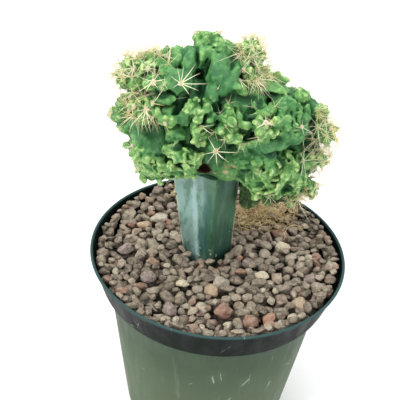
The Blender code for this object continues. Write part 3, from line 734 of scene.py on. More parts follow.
def stem_skin():
    """Blue-green skin with a grey wax bloom that is rubbed thin, darker low down; the bloom's pale grey is
    partly painted light on the lit left side.
    """
    f = Finish("rootstock_skin")
    up, lengthwise = f.painted("up"), f.place(0.16)
    greens = (0.0, 38, 74, 60), (0.3, 50, 96, 70), (0.7, 68, 118, 86), (1.0, 80, 124, 96)
    green = f.ramp(f.between(up, -6.0, 34.0), *greens)
    broad = f.noise(lengthwise, 110.0, 4.0)
    blued = f.mixed(f.between(broad, 0.5, 0.64, 0.0, 0.6), green, (54, 98, 100))
    blotch = f.noise(f.place(0.35), 230.0, 8.0, 0.68)
    lighter = f.mixed(f.between(blotch, 0.5, 0.68, 0.0, 0.6), blued, (104, 146, 110))
    streak = f.noise(lengthwise, 420.0, 5.0)
    streaked = f.mixed(f.between(streak, 0.5, 0.36, 0.0, 0.6), lighter, (34, 70, 54))
    # the pale bloom is partly real wax and partly painted light
    bloom = f.times(f.painted("bloom"), f.between(up, -4.0, 24.0, 0.55, 1.0))
    patchy = f.times(bloom, f.between(blotch, 0.38, 0.56, 0.4, 1.25), True)
    waxed_and_lit = f.mixed(patchy, streaked, (168, 202, 198))
    cork = f.times(f.painted("cork"), f.between(blotch, 0.42, 0.56, 0.35, 1.0))
    ridged = f.mixed(cork, waxed_and_lit, (214, 208, 164))
    low = f.between(up, 4.0, -2.0, 0.74, 0.64)
    worn = f.between(f.maths("SUBTRACT", f.noise(f.place(), 330.0, 3.0), low), 0.0, 0.03, 0.0, 0.75)
    scuffed = f.mixed(worn, ridged, (200, 216, 200))
    rough = f.relief(streak, 0.3 * MM, f.relief(f.grain(0.35 * MM, 3.0), 0.04 * MM))
    glow = {"Subsurface Weight": 0.08, "Subsurface Radius": (0.4, 1.0, 0.6), "Subsurface Scale": 1.0 * MM}
    return f.wear(scuffed, f.between(patchy, 0.0, 0.8, 0.38, 0.62), f.relief(blotch, 0.5 * MM, rough), glow)


stem_points, stem_faces, stem_values = make_stem()
rootstock = mesh_piece("rootstock_column", stem_points, stem_faces, stem_skin(), **stem_values)
rootstock.data.set_sharp_from_angle(angle=math.radians(50))
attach(rootstock, "root")
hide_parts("rootstock")


# ------------------------------------------------------------------ crest
# The cactus head: one fleshy body whose growing tips have run together into fans, folds and
# frills. Old flesh is smooth and blue-green; the youngest edges are pale, crowded and knobbly.

CELL = 0.5  # millimetres between the points at which the flesh is worked out
BLOCK_LOW = np.array((-52.0, -32.0, 15.0))
BLOCK_HIGH = np.array((45.0, 37.0, 94.0))
FAR = 3.0  # everything well outside the flesh counts as this far out
CREST_FACES = 190_000
STIR = 0.0022  # how far the warts of the finish are moved off their places, in metres

# How each kind of lobe grows: its tone from old (0) to young (1), how deep its skin is folded,
# how warty it is, the space between its knobs, and how far they stand out, in millimetres
KINDS = {
    "rib": (0.08, 0.4, 0.05, 0.0, 0.0),
    "smooth": (0.26, 0.8, 0.4, 5.0, 0.3),
    "teal": (0.05, 0.4, 0.15, 0.0, 0.0),
    "pleat": (0.25, 0.9, 0.5, 0.0, 0.0),
    "young rib": (0.36, 0.35, 0.15, 0.0, 0.0),
    "bud": (0.58, 1.1, 0.6, 0.0, 0.0),
    "lump": (0.40, 1.0, 0.7, 4.4, 0.5),
    "knob": (0.52, 1.2, 0.8, 3.8, 0.5),
    "spiny": (0.74, 1.1, 0.9, 2.8, 0.8),
    "tuft": (0.88, 1.0, 0.9, 2.3, 0.9),
    "frill": (0.29, 0.5, 0.5, 0.0, 0.0),
    "young frill": (0.32, 0.7, 0.5, 0.0, 0.0),
}

# Kind, then for each lobe its middle, its half sizes, and its lean in degrees clockwise from the
# front where it leans. The order matters: each lobe is creased against those before it.
LOBE_ROWS = (
    # the body that joins them
    ("teal", (-6, 7, 44, 15, 16, 12), (-6, 8, 55, 23, 17, 21)),
    ("young rib", (1, -3, 41.5, 8, 6.5, 7.5)),
    ("teal", (-10, 5, 75, 9, 8, 9), (-27, 3, 72, 12, 7, 8), (-31, 3, 58, 9, 8, 9),
        (-34, -1, 55, 6, 7, 8), (-15, -3, 64, 13, 9, 12), (2, -1, 65, 12, 10, 10), (19, 3, 62, 13, 8, 9),
        (29, 4, 58, 6, 6, 6), (28, 3, 44, 7, 6, 8), (23, 3, 52, 6, 6, 5)),
    # crown: three buds on a neck, and ribs either side of a deep cleft
    ("bud", (-10.4, 3, 84.6, 4.8, 3.6, 3.6), (-13.6, 3, 87, 1.9, 2.4, 1.7, -10),
        (-10.3, 2.5, 87.2, 1.6, 2.2, 1.8), (-7, 3.5, 87.4, 1.9, 2.4, 1.8, 10),
        (-10.2, -0.5, 83.3, 2.5, 2.8, 2.1), (-6.2, 0.5, 84.5, 2.1, 3, 2)),
    ("smooth", (-10, 6, 81, 5, 5, 3.5)),
    ("teal", (-3, 2, 83, 2.8, 4, 3)),
    ("rib", (-6, -3, 77.8, 5.2, 8, 6.4, 4), (-3, -4, 75, 4.2, 8, 5.6, 25), (-0.5, -3, 78, 2.2, 7, 4, 20)),
    ("teal", (-7.5, -8, 72, 3.4, 5, 4)),
    ("rib", (-16, -3, 80, 2.8, 8, 5.2)),
    ("young rib", (-12, -1, 82, 1.4, 7, 3.6, 6), (-20.5, -1, 80, 2.8, 6, 3.6, -5)),
    ("teal", (-13, -6, 72, 4, 5, 4)),
    # the old spiny crest at the crown's right
    ("tuft", (3.5, 3, 83.5, 3.4, 4, 3), (6.5, 3, 82.5, 2.6, 3.5, 3), (7.5, 2, 79, 2.6, 3.5, 3)),
    ("spiny", (3, 0, 79, 3, 4.5, 3)),
    ("tuft", (5.5, -1, 75.5, 3, 4, 2.8), (9.5, 0, 74, 2.5, 3, 2)),
    ("knob", (1, -5, 74.5, 2.5, 4, 2.8)),
    # upper left
    ("rib", (-18.5, -11.5, 76.5, 4.8, 4.5, 3.6)),
    ("pleat", (-22.5, -9, 76.5, 3.4, 4.5, 3)),
    ("spiny", (-28.5, -2, 79.4, 2.5, 4, 3)),
    ("lump", (-25, 0, 80.8, 3, 3.5, 1.9), (-23.5, -5, 78.5, 3.6, 4, 2.4)),
    ("spiny", (-31, -5, 77, 2.7, 4, 3), (-35.5, -3, 76, 3, 4, 3), (-38, -2, 72.5, 2.2, 5, 3.8),
        (-37.5, -2, 76.4, 2.3, 4, 2.4), (-33.5, -7, 73, 3.2, 4, 3)),
    ("lump", (-27.5, -12, 74.5, 2.8, 4, 2.8), (-24, -12, 74.5, 2.7, 4, 3)),
    ("teal", (-35.5, -5, 68.5, 2.5, 3.5, 2.2)),
    # left
    ("pleat", (-23.5, -14, 70.5, 5, 3, 1.8, -5)),
    ("spiny", (-33, -11, 66.5, 3, 4, 2.6), (-28, -13, 67, 2.8, 4, 2.6)),
    ("lump", (-29.5, -13, 63.5, 2.6, 3.5, 2.2), (-39, -3, 62.5, 2.3, 4, 2.4),
        (-39.2, -2, 57.5, 3.4, 5, 3.6), (-37.8, -2, 53, 3, 5, 3)),
    ("knob", (-42.3, 0, 56.5, 1.6, 2, 1.5), (-34, -3, 46.5, 2.2, 4, 2.8)),
    # centre
    ("young rib", (-22.7, -14, 64.3, 2.8, 4.5, 3.5), (-20, -14, 64.6, 2.8, 4.5, 3.5)),
    ("pleat", (-18, -12, 57, 5, 6, 4.2)),
    ("teal", (-27.5, -11, 60, 3.2, 4, 2.4), (-16, -10, 64.5, 3, 6, 5)),
    ("bud", (-13.6, -17, 70, 2.4, 3, 2.7), (-8.7, -15, 69.5, 1.8, 3.2, 2.5),
        (-11, -17, 66.2, 1.8, 2, 1.4), (-11.5, -16, 61, 1.6, 3.5, 3.2), (-8.5, -15, 58.5, 1.6, 3, 2)),
    ("teal", (-6, -13, 65.5, 2.2, 5, 3.6)),
    ("knob", (-0.5, -14, 66.6, 2.6, 4, 2.3)),
    ("young rib", (3.4, -13, 67, 2.6, 3, 2), (5.4, -14.5, 64.6, 2.6, 3.5, 2.4, -12)),
    ("knob", (3, -15, 60.5, 2.1, 3.5, 2.4), (-0.5, -14, 61.5, 3, 4, 3)),
    ("teal", (-4.5, -12, 56.5, 3, 5, 3.4), (-4.4, -16, 55.8, 2.2, 4.2, 2.2)),
    # right
    ("young rib", (14.5, 3, 74, 4.2, 3, 2.2, 4), (14, -2, 72, 5, 4, 2.6, 6)),
    ("smooth", (9, -9, 70.5, 2.1, 3.5, 2.6)),
    ("knob", (5.5, -4, 72, 3, 3, 2.2)),
    ("pleat", (17.5, -7, 69.2, 6, 4, 2.2)),
    ("bud", (23.5, 0, 69.2, 3, 4, 2.6)),
    ("knob", (11, -12, 68, 3, 4, 2.4), (11.5, -15, 64.5, 3, 4, 2.8)),
    ("pleat", (16.5, -10, 65.5, 2.6, 5.5, 4.2, 10), (19, -10, 64.5, 1.6, 6, 4.6, 8),
        (21.4, -9, 64.5, 1.6, 6, 4.6, 5), (23.6, -8, 64.5, 1.6, 6, 4.6, 2), (26, -6, 64.2, 1.6, 6, 4.2)),
    ("bud", (16.5, -15, 63.8, 3.4, 1.6, 1, -30)),
    ("pleat", (6, -8, 49, 8, 6, 4.5, -25)),
    ("teal", (14, -10, 56, 8, 6, 4.2, -22), (21, -9, 60.5, 6, 6, 3.8, -15)),
    # right end
    ("tuft", (31.5, 1, 64, 3.2, 3, 2.2)),
    ("spiny", (29.5, 0, 60.5, 2.6, 4, 2.8), (34, 0, 57.5, 3, 4.5, 3.2)),
    ("tuft", (32.3, -2, 47.2, 3.3, 4, 3.1)),
    ("smooth", (28, -4, 46.5, 2.6, 4, 2.8)),
    ("teal", (30, 5, 52, 4.5, 4, 4.5), (28.5, 3, 39.5, 3.4, 4, 3.6)),
    ("tuft", (32.3, -2, 33.6, 2.9, 3, 3.2), (28.5, -2, 33.5, 1.9, 3, 3.6, 20),
        (26.3, -1.5, 27.5, 1.9, 3, 3.8, 20)),
    # ruffles that hang beside the stem
    ("frill", (15, -3, 40.3, 10.5, 8, 9.4), (17, -4.5, 47, 6.5, 7.5, 6), (25, -4, 43, 4.5, 5.5, 6.5),
        (26, -2, 37, 5.5, 5.5, 4.8)),
    ("teal", (19, 2, 29, 8, 6, 4.5)),
    ("frill", (11.5, 3, 26.5, 4, 5, 5), (9.6, 4.5, 21.5, 2.8, 3.5, 3.2)),
    ("teal", (8.5, 5, 30, 3.4, 4, 8)),
    ("frill", (-23.5, -3.5, 41.5, 10, 8.5, 7.6, 10)),
    ("teal", (-26, -5, 50, 8, 7, 7)),
    ("frill", (-16, -8, 43.5, 5.5, 6, 5), (-28.5, 0, 36.7, 5.8, 6.5, 3.8)),
    ("young frill", (-16, -15, 50.8, 5.4, 2.6, 1.5, 8), (-12.6, -13.5, 46.5, 2.2, 3, 4),
        (-30, -9, 46.8, 3.4, 3.5, 3.6, -20)),
    # back
    ("lump", (-4, 14, 71, 9, 8, 8, 10), (-21, 14, 67, 9, 9, 8, -15)),
    ("knob", (-31, 9, 64, 8, 9, 8)),
    ("smooth", (-29, 15, 55, 9, 9, 10)),
    ("frill", (-21, 15, 40, 9, 8, 8)),
    ("smooth", (-10, 22, 62, 9, 7, 11)),
    ("frill", (-3, 20, 46, 10, 8, 9)),
    ("lump", (11, 14, 61, 9, 9, 8, 15)),
    ("knob", (22, 9, 57, 8, 8, 8)),
    ("teal", (17, 17, 50, 9, 9, 9)),
    ("frill", (18, 9, 38, 9, 8, 8)),
)
LOBES = [(row[:3], row[3:6], sum(row[6:]), kind) for kind, *rows in LOBE_ROWS for row in rows]

axes = [np.arange(low, high, CELL) for low, high in zip(BLOCK_LOW, BLOCK_HIGH)]
flesh = np.full([len(axis) for axis in axes], FAR, np.float32)  # millimetres out from the skin


def weights_between(axis, left, part, count):
    """How much of each coarse mark every point of an axis takes."""
    weights = np.zeros((len(axis), count), np.float32)
    weights[np.arange(len(axis)), left] = 1.0 - part
    weights[np.arange(len(axis)), left + 1] = part
    return weights


def wander(step, seed):
    """Smooth random numbers from -1 to 1 through the block, with a hill about every step."""
    blend = []
    for axis in axes:
        place = (axis - axis[0]) / step
        left = place.astype(int)
        part = place - left
        blend.append(weights_between(axis, left, part * part * (3.0 - 2.0 * part), left.max() + 2))
    dice = np.random.default_rng(seed)
    lattice = dice.uniform(-1.0, 1.0, [weights.shape[1] for weights in blend]).astype(np.float32)
    for weights in blend:
        lattice = np.tensordot(lattice, weights, axes=(0, 1))
    return lattice


def unit(way):
    return way / np.linalg.norm(way)


def grid_of(lines):
    """Every place that has one of each axis's numbers."""
    return np.stack(np.meshgrid(*lines, indexing="ij"), axis=-1)


def block_near(middle, reach):
    """The part of the block that lies within reach of a place, and how far off each point is."""
    start = np.maximum(((middle - reach - BLOCK_LOW) / CELL).astype(int), 0)
    stop = ((middle + reach - BLOCK_LOW) / CELL).astype(int) + 2
    part = tuple(slice(low, max(low, high)) for low, high in zip(start, stop))
    return part, grid_of([axis[cut] - m for axis, cut, m in zip(axes, part, middle)])


def egg_gap(away, half_sizes):
    """How far out of an egg shape each place is, from its offset along the egg's axes."""
    away = away / half_sizes
    length = np.sqrt((away * away).sum(-1)) + 1e-6
    steep = np.sqrt(((away / half_sizes) ** 2).sum(-1)) + 1e-6
    return length * (length - 1.0) / steep


WOBBLE = 1.1  # how far the lobes are pulled out of their true shape, in millimetres
wobble = [WOBBLE * wander(8.0, seed) + 0.7 * WOBBLE * wander(3.0, seed + 5) for seed in (1, 2, 3)]


def swell(middle, half_sizes, turn, blend, wobbled=0.0):
    """Joins an egg-shaped lobe, wobbled by a share, into the flesh, leaving a crease round it."""
    middle = np.asarray(middle, float)
    half_sizes = np.asarray(half_sizes, np.float32)
    part, away = block_near(middle, half_sizes.max() + max(blend, 1.0) + 2.0 * WOBBLE * wobbled)
    near = flesh[part]
    if near.size == 0:
        return
    away = away.astype(np.float32)
    if wobbled:
        away += wobbled * np.stack([shift[part] for shift in wobble], axis=-1)
    egg = egg_gap(away @ np.asarray(turn, np.float32), half_sizes)
    overlap = np.maximum(blend - np.abs(near - egg), 0.0) / blend
    near[...] = np.minimum(near, egg) - overlap * overlap * blend * 0.25


def lean_turn(degrees):
    """Turn about the front-to-back line, clockwise as seen from the front."""
    angle = math.radians(degrees)
    cos, sin = math.cos(angle), math.sin(angle)
    return ((cos, 0.0, sin), (0.0, 1.0, 0.0), (-sin, 0.0, cos))


def read(values, places):
    """Values of the block at any places, met halfway between its points."""
    share = (np.asarray(places) - BLOCK_LOW) / CELL
    share = np.clip(share, 0.0, np.array(values.shape) - 1.001)
    left = share.astype(int)
    part = share - left
    total = 0.0
    for corner in np.ndindex(2, 2, 2):
        weight = np.prod(np.where(corner, part, 1.0 - part), axis=1)
        total = total + weight * values[tuple((left + corner).T)]
    return total


def outward(places, step=0.6):
    """The direction straight out of the flesh at each place."""
    slope = [read(flesh, places + step * axis) - read(flesh, places - step * axis) for axis in np.eye(3)]
    slope = np.stack(slope, axis=1)
    return slope / (np.linalg.norm(slope, axis=1, keepdims=True) + 1e-9)


def onto_skin(places):
    """Moves places near the flesh onto its skin."""
    places = np.array(places, float)
    for _ in range(4):
        places -= np.clip(read(flesh, places), -2.0, 2.0)[:, None] * outward(places)
    return places


def skin_of(values):
    """One point in each cell that the skin passes through, and a face round each crossed edge."""
    inside = values < 0.0
    shape = np.array(values.shape) - 1
    corners = list(np.ndindex(2, 2, 2))
    count = np.zeros(shape, np.int8)
    for corner in corners:
        count += inside[tuple(slice(c, c + n) for c, n in zip(corner, shape))]
    crossed = (count > 0) & (count < 8)
    cells = np.argwhere(crossed)
    number = np.full(crossed.shape, -1, np.int32)
    number[crossed] = np.arange(len(cells))
    at = [values[tuple((cells + corner).T)] for corner in corners]
    total, met = np.zeros((len(cells), 3)), np.zeros(len(cells))
    for (a, at_a), (b, at_b) in itertools.combinations(zip(corners, at), 2):
        if np.abs(np.subtract(a, b)).sum() == 1:
            cut = (at_a < 0.0) != (at_b < 0.0)
            share = at_a[cut] / (at_a[cut] - at_b[cut])
            total[cut] += np.array(a) + share[:, None] * np.subtract(b, a)
            met[cut] += 1
    points = (cells + total / met[:, None]) * CELL + BLOCK_LOW
    faces = []
    for axis in range(3):
        ahead, u, v = np.roll(np.eye(3, dtype=int), -axis, axis=0)
        low, high = [slice(1, -1)] * 3, [slice(1, -1)] * 3
        low[axis], high[axis] = slice(0, -1), slice(1, None)
        edges = np.argwhere(inside[tuple(low)] != inside[tuple(high)]) + 1 - ahead
        quads = np.stack([number[tuple((edges - shift).T)] for shift in (0 * u, u, u + v, v)], axis=1)
        leaving = inside[tuple(edges.T)]
        quads[~leaving] = quads[~leaving][:, ::-1]
        faces.append(quads)
    return points, np.concatenate(faces)


def largest_shell(points, faces):
    """Keeps the one body of flesh and drops anything loose from it."""
    label = np.arange(len(points))
    pairs = np.concatenate([faces[:, [i, (i + 1) % 4]] for i in range(4)])
    while True:
        low = np.minimum(label[pairs[:, 0]], label[pairs[:, 1]])
        new = label.copy()
        np.minimum.at(new, pairs[:, 0], low)
        np.minimum.at(new, pairs[:, 1], low)
        new = new[new]
        if (new == label).all():
            break
        label = new
    kept = label == np.bincount(label).argmax()
    number = np.cumsum(kept) - 1
    return points[kept], number[faces[kept[faces[:, 0]]]]


def softened(values, cells):
    """The block averaged over a small box round each point."""
    width = 2 * cells + 1
    for axis in range(3):
        padded = np.pad(values, [(cells + 1, cells) if i == axis else (0, 0) for i in range(3)], mode="edge")
        total = np.moveaxis(np.cumsum(padded, axis=axis, dtype=np.float32), axis, 0)
        values = np.moveaxis((total[width:] - total[:-width]) / width, 0, axis)
    return values


def lobe_shares(places):
    """How much each lobe has to do with each place, adding up to 1."""
    shares = []
    for middle, half_sizes, lean, _ in LOBES:
        away = (places - np.array(middle, float)) @ np.array(lean_turn(lean))
        shares.append(np.exp(-1.3 * egg_gap(away, np.array(half_sizes, float))))
    shares = np.stack(shares, axis=1)
    return shares / shares.sum(axis=1, keepdims=True)


tones, folding, warty = np.array([KINDS[kind][:3] for *_, kind in LOBES]).T
ruffled = np.array(["frill" in kind for *_, kind in LOBES], float)
LOBE_BLEND = 0.7  # how softly lobes join, in millimetres
LOBE_SIZE = 0.97  # lobes are drawn in a little, as the folds swell them again
RIB_WOBBLE = 0.45  # ribs keep their shape better than the rest
for middle, half_sizes, lean, kind in LOBES:
    wobbled = RIB_WOBBLE if "rib" in kind else 1.0
    swell(middle, np.array(half_sizes) * LOBE_SIZE, lean_turn(lean), LOBE_BLEND, wobbled)


def spread_over(coarse, step):
    """A coarse block's values met smoothly at every point of the flesh."""
    for axis in axes:
        place = (axis - axis[0]) / step
        left = np.minimum(place.astype(int), coarse.shape[0] - 2)
        weights = weights_between(axis, left, place - left, coarse.shape[0])
        coarse = np.tensordot(coarse, weights, axes=(0, 1))
    return coarse


FOLD_STEP = 2.0  # millimetres between the places at which it is worked out how folded they are
FOLD_DEPTH = 1.6  # of the creases between the folds, in millimetres
RUFFLE_EDGE = 0.3  # how broad the ruffles' thin raised edges are
RUFFLE_RISE = 1.7  # and how far they stand out, in millimetres


def fold_skin():
    """Pushes the skin out between a wandering net of sharp creases, deepest where it is young."""
    marks = [np.arange(axis[0], axis[-1] + 2 * FOLD_STEP, FOLD_STEP) for axis in axes]
    places = grid_of(marks)
    shares = lobe_shares(places.reshape(-1, 3))
    depth, frilled = (
        (shares @ value).reshape(places.shape[:3]).astype(np.float32) for value in (folding, ruffled)
    )
    folds = np.abs(wander(3.4, 31)) - 0.25 + 0.8 * (np.abs(wander(1.7, 32)) - 0.25)
    flesh[...] -= spread_over(depth, FOLD_STEP) * folds * FOLD_DEPTH
    waves = np.abs(wander(3.0, 41) + 0.3 * wander(1.5, 42))
    edges = np.maximum(1.0 - waves / RUFFLE_EDGE, 0.0) + 0.25 * np.abs(wander(1.5, 43))
    edges *= spread_over(frilled, FOLD_STEP)
    flesh[...] -= edges * RUFFLE_RISE
    return edges


ruffle_edges = fold_skin()


def frame_on(normal, along):
    """Three columns: along the skin, across it, and straight out."""
    across = np.cross(normal, along)
    across /= np.linalg.norm(across) + 1e-9
    along = np.cross(across, normal)
    return np.stack([along, across, normal], axis=1)


# Pits: the dark places where the flesh has folded away. Place, half width, half height, depth.
PITS = (
    ((-28.5, -12.5, 55.6), (6.4, 5.4, 4.6)),  # the hollow inside the left ruffle
    ((-16.5, -15, 53.5), (2.8, 1.5, 3.5)),
    ((-4, -15, 70.2), (2.2, 2.0, 4.5)),
    ((4.4, -13, 71.4), (2.6, 1.2, 4.0)),
    ((8, -13, 71), (1.3, 1.3, 3.5)),
    ((7, -9, 73.5), (1.4, 0.9, 3.0)),
    ((6, -15, 60.5), (1.1, 1.9, 3.5)),
    ((7, -15, 66), (0.9, 1.9, 3.0)),
    ((24.5, -8, 54), (1.4, 2.4, 4.0)),
    ((28, -4, 56.5), (1.4, 3.2, 4.0)),
    ((-16.5, -13, 66.5), (1.0, 5.3, 3.0)),
    ((-34.5, -8, 70.5), (1.7, 1.5, 3.0)),
    ((-24.5, -15, 73), (3.5, 0.8, 2.0)),
    ((-15.5, -14, 45.5), (1.8, 1.6, 3.5)),
    ((-10.5, -7, 79.5), (0.8, 3.7, 3.5)),  # the cleft left of the crown's fat rib
    ((-11, -10, 73.5), (1.4, 3.0, 3.0)),
    ((13, -5, 72), (3.0, 0.7, 2.8)),
    ((14.5, -13, 54.5), (4.4, 0.8, 2.4)),
)
PIT_EDGE = 0.8  # how softly a pit's edge is rounded, in millimetres
# Places under the ruffles that no light gets to, and that nothing is cut out of: middle, half sizes
SHADED = (((17.5, -3, 27), (6.5, 8, 4.5)), ((9.5, 3, 25), (3.2, 7, 9)))
SHADE = 0.65  # how dark they are, from 0 to 1
pit_feet = []


def pit(place, size):
    """Takes an egg-shaped hollow out of the skin nearest to a place."""
    foot = onto_skin([place])
    normal = outward(foot, 1.5)[0]
    turn = frame_on(normal, np.cross((0.0, 0.0, 1.0), normal))
    pit_feet.append((foot[0], turn, size))
    part, away = block_near(foot[0], max(size) + 1.5)
    near = flesh[part]
    away = (away @ turn) / np.array(size)
    inside = (1.0 - np.sqrt((away * away).sum(-1))) * min(size)
    overlap = np.maximum(PIT_EDGE - np.abs(near - inside), 0.0) / PIT_EDGE
    near[...] = np.maximum(near, inside) + overlap * overlap * PIT_EDGE * 0.25


for place, size in PITS:
    pit(place, size)


# Frills: the ruffled growing edges, each a row of little pleats that lie over one another like
# leaves. A row is the line that it takes over the flesh, and which side its leaves turn to.
FRILLS = (
    # left ruffle, round the blue-green hollow
    (((-34.5, -8, 51), (-33.5, -10, 48.5), (-31, -12, 47.5), (-28, -13, 47), (-24, -14, 46),
        (-20, -13, 42)), 1),
    (((-36, -6, 45), (-34, -7, 41), (-31, -9, 39), (-28, -10, 38), (-24, -11, 38)), 1),
    (((-32, -4, 36), (-28, -6, 35.5), (-24, -7, 35.5)), 1),
    (((-21, -15, 51), (-18, -16, 51), (-14, -16, 52), (-11, -15, 50)), 1),
    (((-11, -14, 48), (-12, -13, 44), (-14, -13, 42)), -1),
    (((-19, -15, 47), (-17, -14, 44)), 1),
    # right ruffle, curling in on itself
    (((7, -10, 47), (9, -12, 51), (13, -13, 53), (17, -13, 52), (20, -13, 49), (21, -12, 44),
        (20, -11, 39)), 1),
    (((20, -11, 39), (16, -11, 36), (12, -10, 36)), 1),
    (((11, -12, 45), (12, -13, 49), (15, -14, 50), (17, -14, 48), (18, -13, 43)), 1),
    (((18, -13, 43), (15, -13, 41), (12, -12, 42)), 1),
    (((22, -9, 52), (24, -9, 48), (25, -9, 43), (24, -8, 38)), 1),
    (((12, -7, 33), (16, -7, 32), (21, -7, 33), (24, -6, 34)), -1),
    # on the smooth band and the shoulder over it
    (((5, -14, 54), (9, -15, 57), (14, -15, 60)), -1),
    (((14, -15, 62), (17, -15, 65), (20, -15, 67)), -1),
    # back
    (((-30, 20, 46), (-24, 22, 40), (-18, 22, 37), (-10, 26, 40), (-4, 27, 44), (4, 26, 44)), 1),
    (((10, 24, 44), (18, 20, 38), (24, 14, 36), (28, 6, 38)), 1),
    (((-34, 18, 62), (-26, 22, 66), (-18, 24, 68), (-10, 27, 70)), 1),
    (((4, 22, 66), (12, 21, 65), (20, 17, 62), (27, 12, 60)), 1),
    (((-14, 20, 76), (-6, 20, 78), (2, 17, 77)), 1),
)
LEAF_SPACE = 2.2  # millimetres between the leaves of a row
LEAF = np.array((2.3, 1.9, 0.6))  # half sizes along the leaf, across it and through it
LEAF_BLEND = 0.35  # how softly a leaf joins the flesh, in millimetres
young = []  # place, reach and tone of each young tip, for the finish


def spaced(line, space):
    """Points an even space apart along a line, and the direction of the line at each."""
    line = np.array(line, float)
    along = np.concatenate([[0.0], np.cumsum(np.linalg.norm(np.diff(line, axis=0), axis=1))])
    marks = np.arange(0.0, along[-1] + 0.01, space)
    points, before, after = (
        np.stack([np.interp(marks + shift, along, axis) for axis in line.T], axis=1)
        for shift in (0.0, -0.5, 0.5)
    )
    return points, after - before


def add_leaf(point, normal, way, lift, size):
    """A flat scale of flesh that lies out over the skin, its free edge lifted."""
    aim = way * math.cos(lift) + normal * math.sin(lift)
    side = unit(np.cross(normal, way))
    middle = point + aim * size[0] * 0.45 + normal * 0.35
    swell(middle, size, np.stack([aim, side, np.cross(aim, side)], axis=1), LEAF_BLEND)
    young.append((*(middle + aim * size[0] * 0.3), 1.5, 0.5))
    young.append((*(middle + aim * size[0] * 0.85), 1.3, 0.9))


def grow_frills():
    dice = np.random.default_rng(11)
    for line, side in FRILLS:
        points, aheads = spaced(line, LEAF_SPACE)
        points = onto_skin(points)
        for point, ahead, normal in zip(points, aheads, outward(points, 1.5)):
            ahead = unit(ahead)
            turned_out = unit(side * np.cross(ahead, normal) + dice.uniform(-0.45, 0.45) * ahead)
            size = LEAF * dice.uniform(0.75, 1.2) * (1.0, dice.uniform(0.8, 1.15), 1.0)
            add_leaf(point, normal, turned_out, dice.uniform(0.4, 0.9), size)


grow_frills()


# Offsets: small pale heads that have budded out of the creases. Place and half size.
OFFSETS = (
    ((-12, -20, 59), 1.3), ((-10, -19, 62.5), 1.1), ((-8, -19, 57), 1.1), ((-10, -18, 55), 1.0),
    ((0, -18, 67), 1.2), ((-2, -18, 62), 1.3), ((1, -18, 60), 1.2),
    ((4, -18, 61), 1.2), ((2, -17, 57.5), 1.0), ((9, -18, 67), 1.2),
    ((13, -19, 67), 1.1), ((10, -19, 63), 1.2), ((14, -18, 63), 1.0), ((7, -14, 67.5), 1.1),
    ((0, -9, 76), 1.3), ((3, -8, 74), 1.3), ((12, 0, 77), 1.3),
    ((15.5, 1, 77), 1.3), ((18.5, 1, 76), 1.3), ((-14, -17, 47), 1.2), ((-25, -17, 67), 1.2),
    ((-22, -19, 67), 1.1), ((-20, -18, 61), 1.1), ((10, -15, 50), 1.1), ((14, -15, 46), 1.2),
)


def grow_offsets():
    dice = np.random.default_rng(3)
    places = onto_skin([place for place, _ in OFFSETS])
    for place, normal, (_, size) in zip(places, outward(places, 1.5), OFFSETS):
        lean = unit(normal + dice.uniform(-0.35, 0.35, 3))
        middle = place + lean * 0.5 * size
        half_sizes = size * dice.uniform((0.6, 0.8, 0.9), (1.0, 1.5, 1.5))
        swell(middle, half_sizes, frame_on(lean, (0.3, 0.2, 1.0)), 0.7, 0.8)
        young.append((*(middle + lean * size * 0.6), size * 1.2, 0.8))


grow_offsets()


# Knobs: the warts that carry the spines, crowded on the young lobes and worn away on the old.
KNOBS_LOWEST = 28.0
knobs = []  # foot, direction out, size, rise and kind of each


def grow_knobs():
    points, _ = skin_of(flesh)
    dice = np.random.default_rng(7)
    points = points[dice.permutation(len(points))]
    kept = np.zeros((0, 3))
    for point, normal, lobe in zip(points, outward(points, 1.5), lobe_shares(points).argmax(axis=1)):
        kind = LOBES[lobe][-1]
        *_, space, rise = KINDS[kind]
        if not space or point[2] < KNOBS_LOWEST:
            continue
        if len(kept) and ((kept - point) ** 2).sum(axis=1).min() < space * space:
            continue
        kept = np.append(kept, [point], axis=0)
        size = space * dice.uniform(0.38, 0.52)
        knobs.append((point, normal, size, rise * dice.uniform(0.7, 1.25), kind))
    for point, normal, size, rise, kind in knobs:
        turn = frame_on(normal, dice.normal(size=3))
        stretch = dice.uniform(0.85, 1.25)
        middle = point + normal * (rise - size * 0.8)
        swell(middle, (size * stretch, size / stretch, size), turn, 0.4)
        young.append((*(point + normal * rise), size * 0.9, KINDS[kind][0]))


grow_knobs()


# The stock's cut face, which the flesh sits on, and the dark hollow left between the two.
HOLLOW = ((-9.2, -8.5, 40.2), (3.7, 6.5, 3.3))
CUT_FACE = (GRAFT[0], GRAFT[1], GRAFT_RADIUS + 0.6, GRAFT[2] + 0.3)  # middle, radius and height


def carve():
    """Roughens the skin, takes the hollow and the stock out of the flesh, and closes it all round."""
    global flesh
    x, y, z = np.meshgrid(*axes, indexing="ij", sparse=True)
    flesh += 0.20 * wander(2.2, 21) + 0.14 * wander(1.1, 22)
    middle, size = HOLLOW
    away = [(axis - m) / s for axis, m, s in zip((x, y, z), middle, size)]
    hollow = (np.sqrt(sum(a * a for a in away)) - 1.0) * min(size)
    stock = np.maximum(np.hypot(x - CUT_FACE[0], y - CUT_FACE[1]) - CUT_FACE[2], z - CUT_FACE[3])
    flesh = np.maximum(np.maximum(flesh, -hollow), -stock).astype(np.float32)
    for axis in range(3):
        edge = [slice(None)] * 3
        for end in (0, -1):
            edge[axis] = end
            flesh[tuple(edge)] = FAR


carve()


# Scars: dry tan patches, where the skin has corked. Middle and reach.
SCARS = (
    ((3, -12, 46.5), 1.1), ((1.7, -12, 44.5), 1.2), ((0.8, -12, 42.5), 1.2), ((0.2, -11, 40.6), 1.1),
    ((-13, -10, 38), 0.9), ((-11, -9, 37), 0.9), ((-9, -9, 37), 0.8), ((-7, -9, 37.5), 0.8),
    ((-5, -9, 38), 0.8),
)


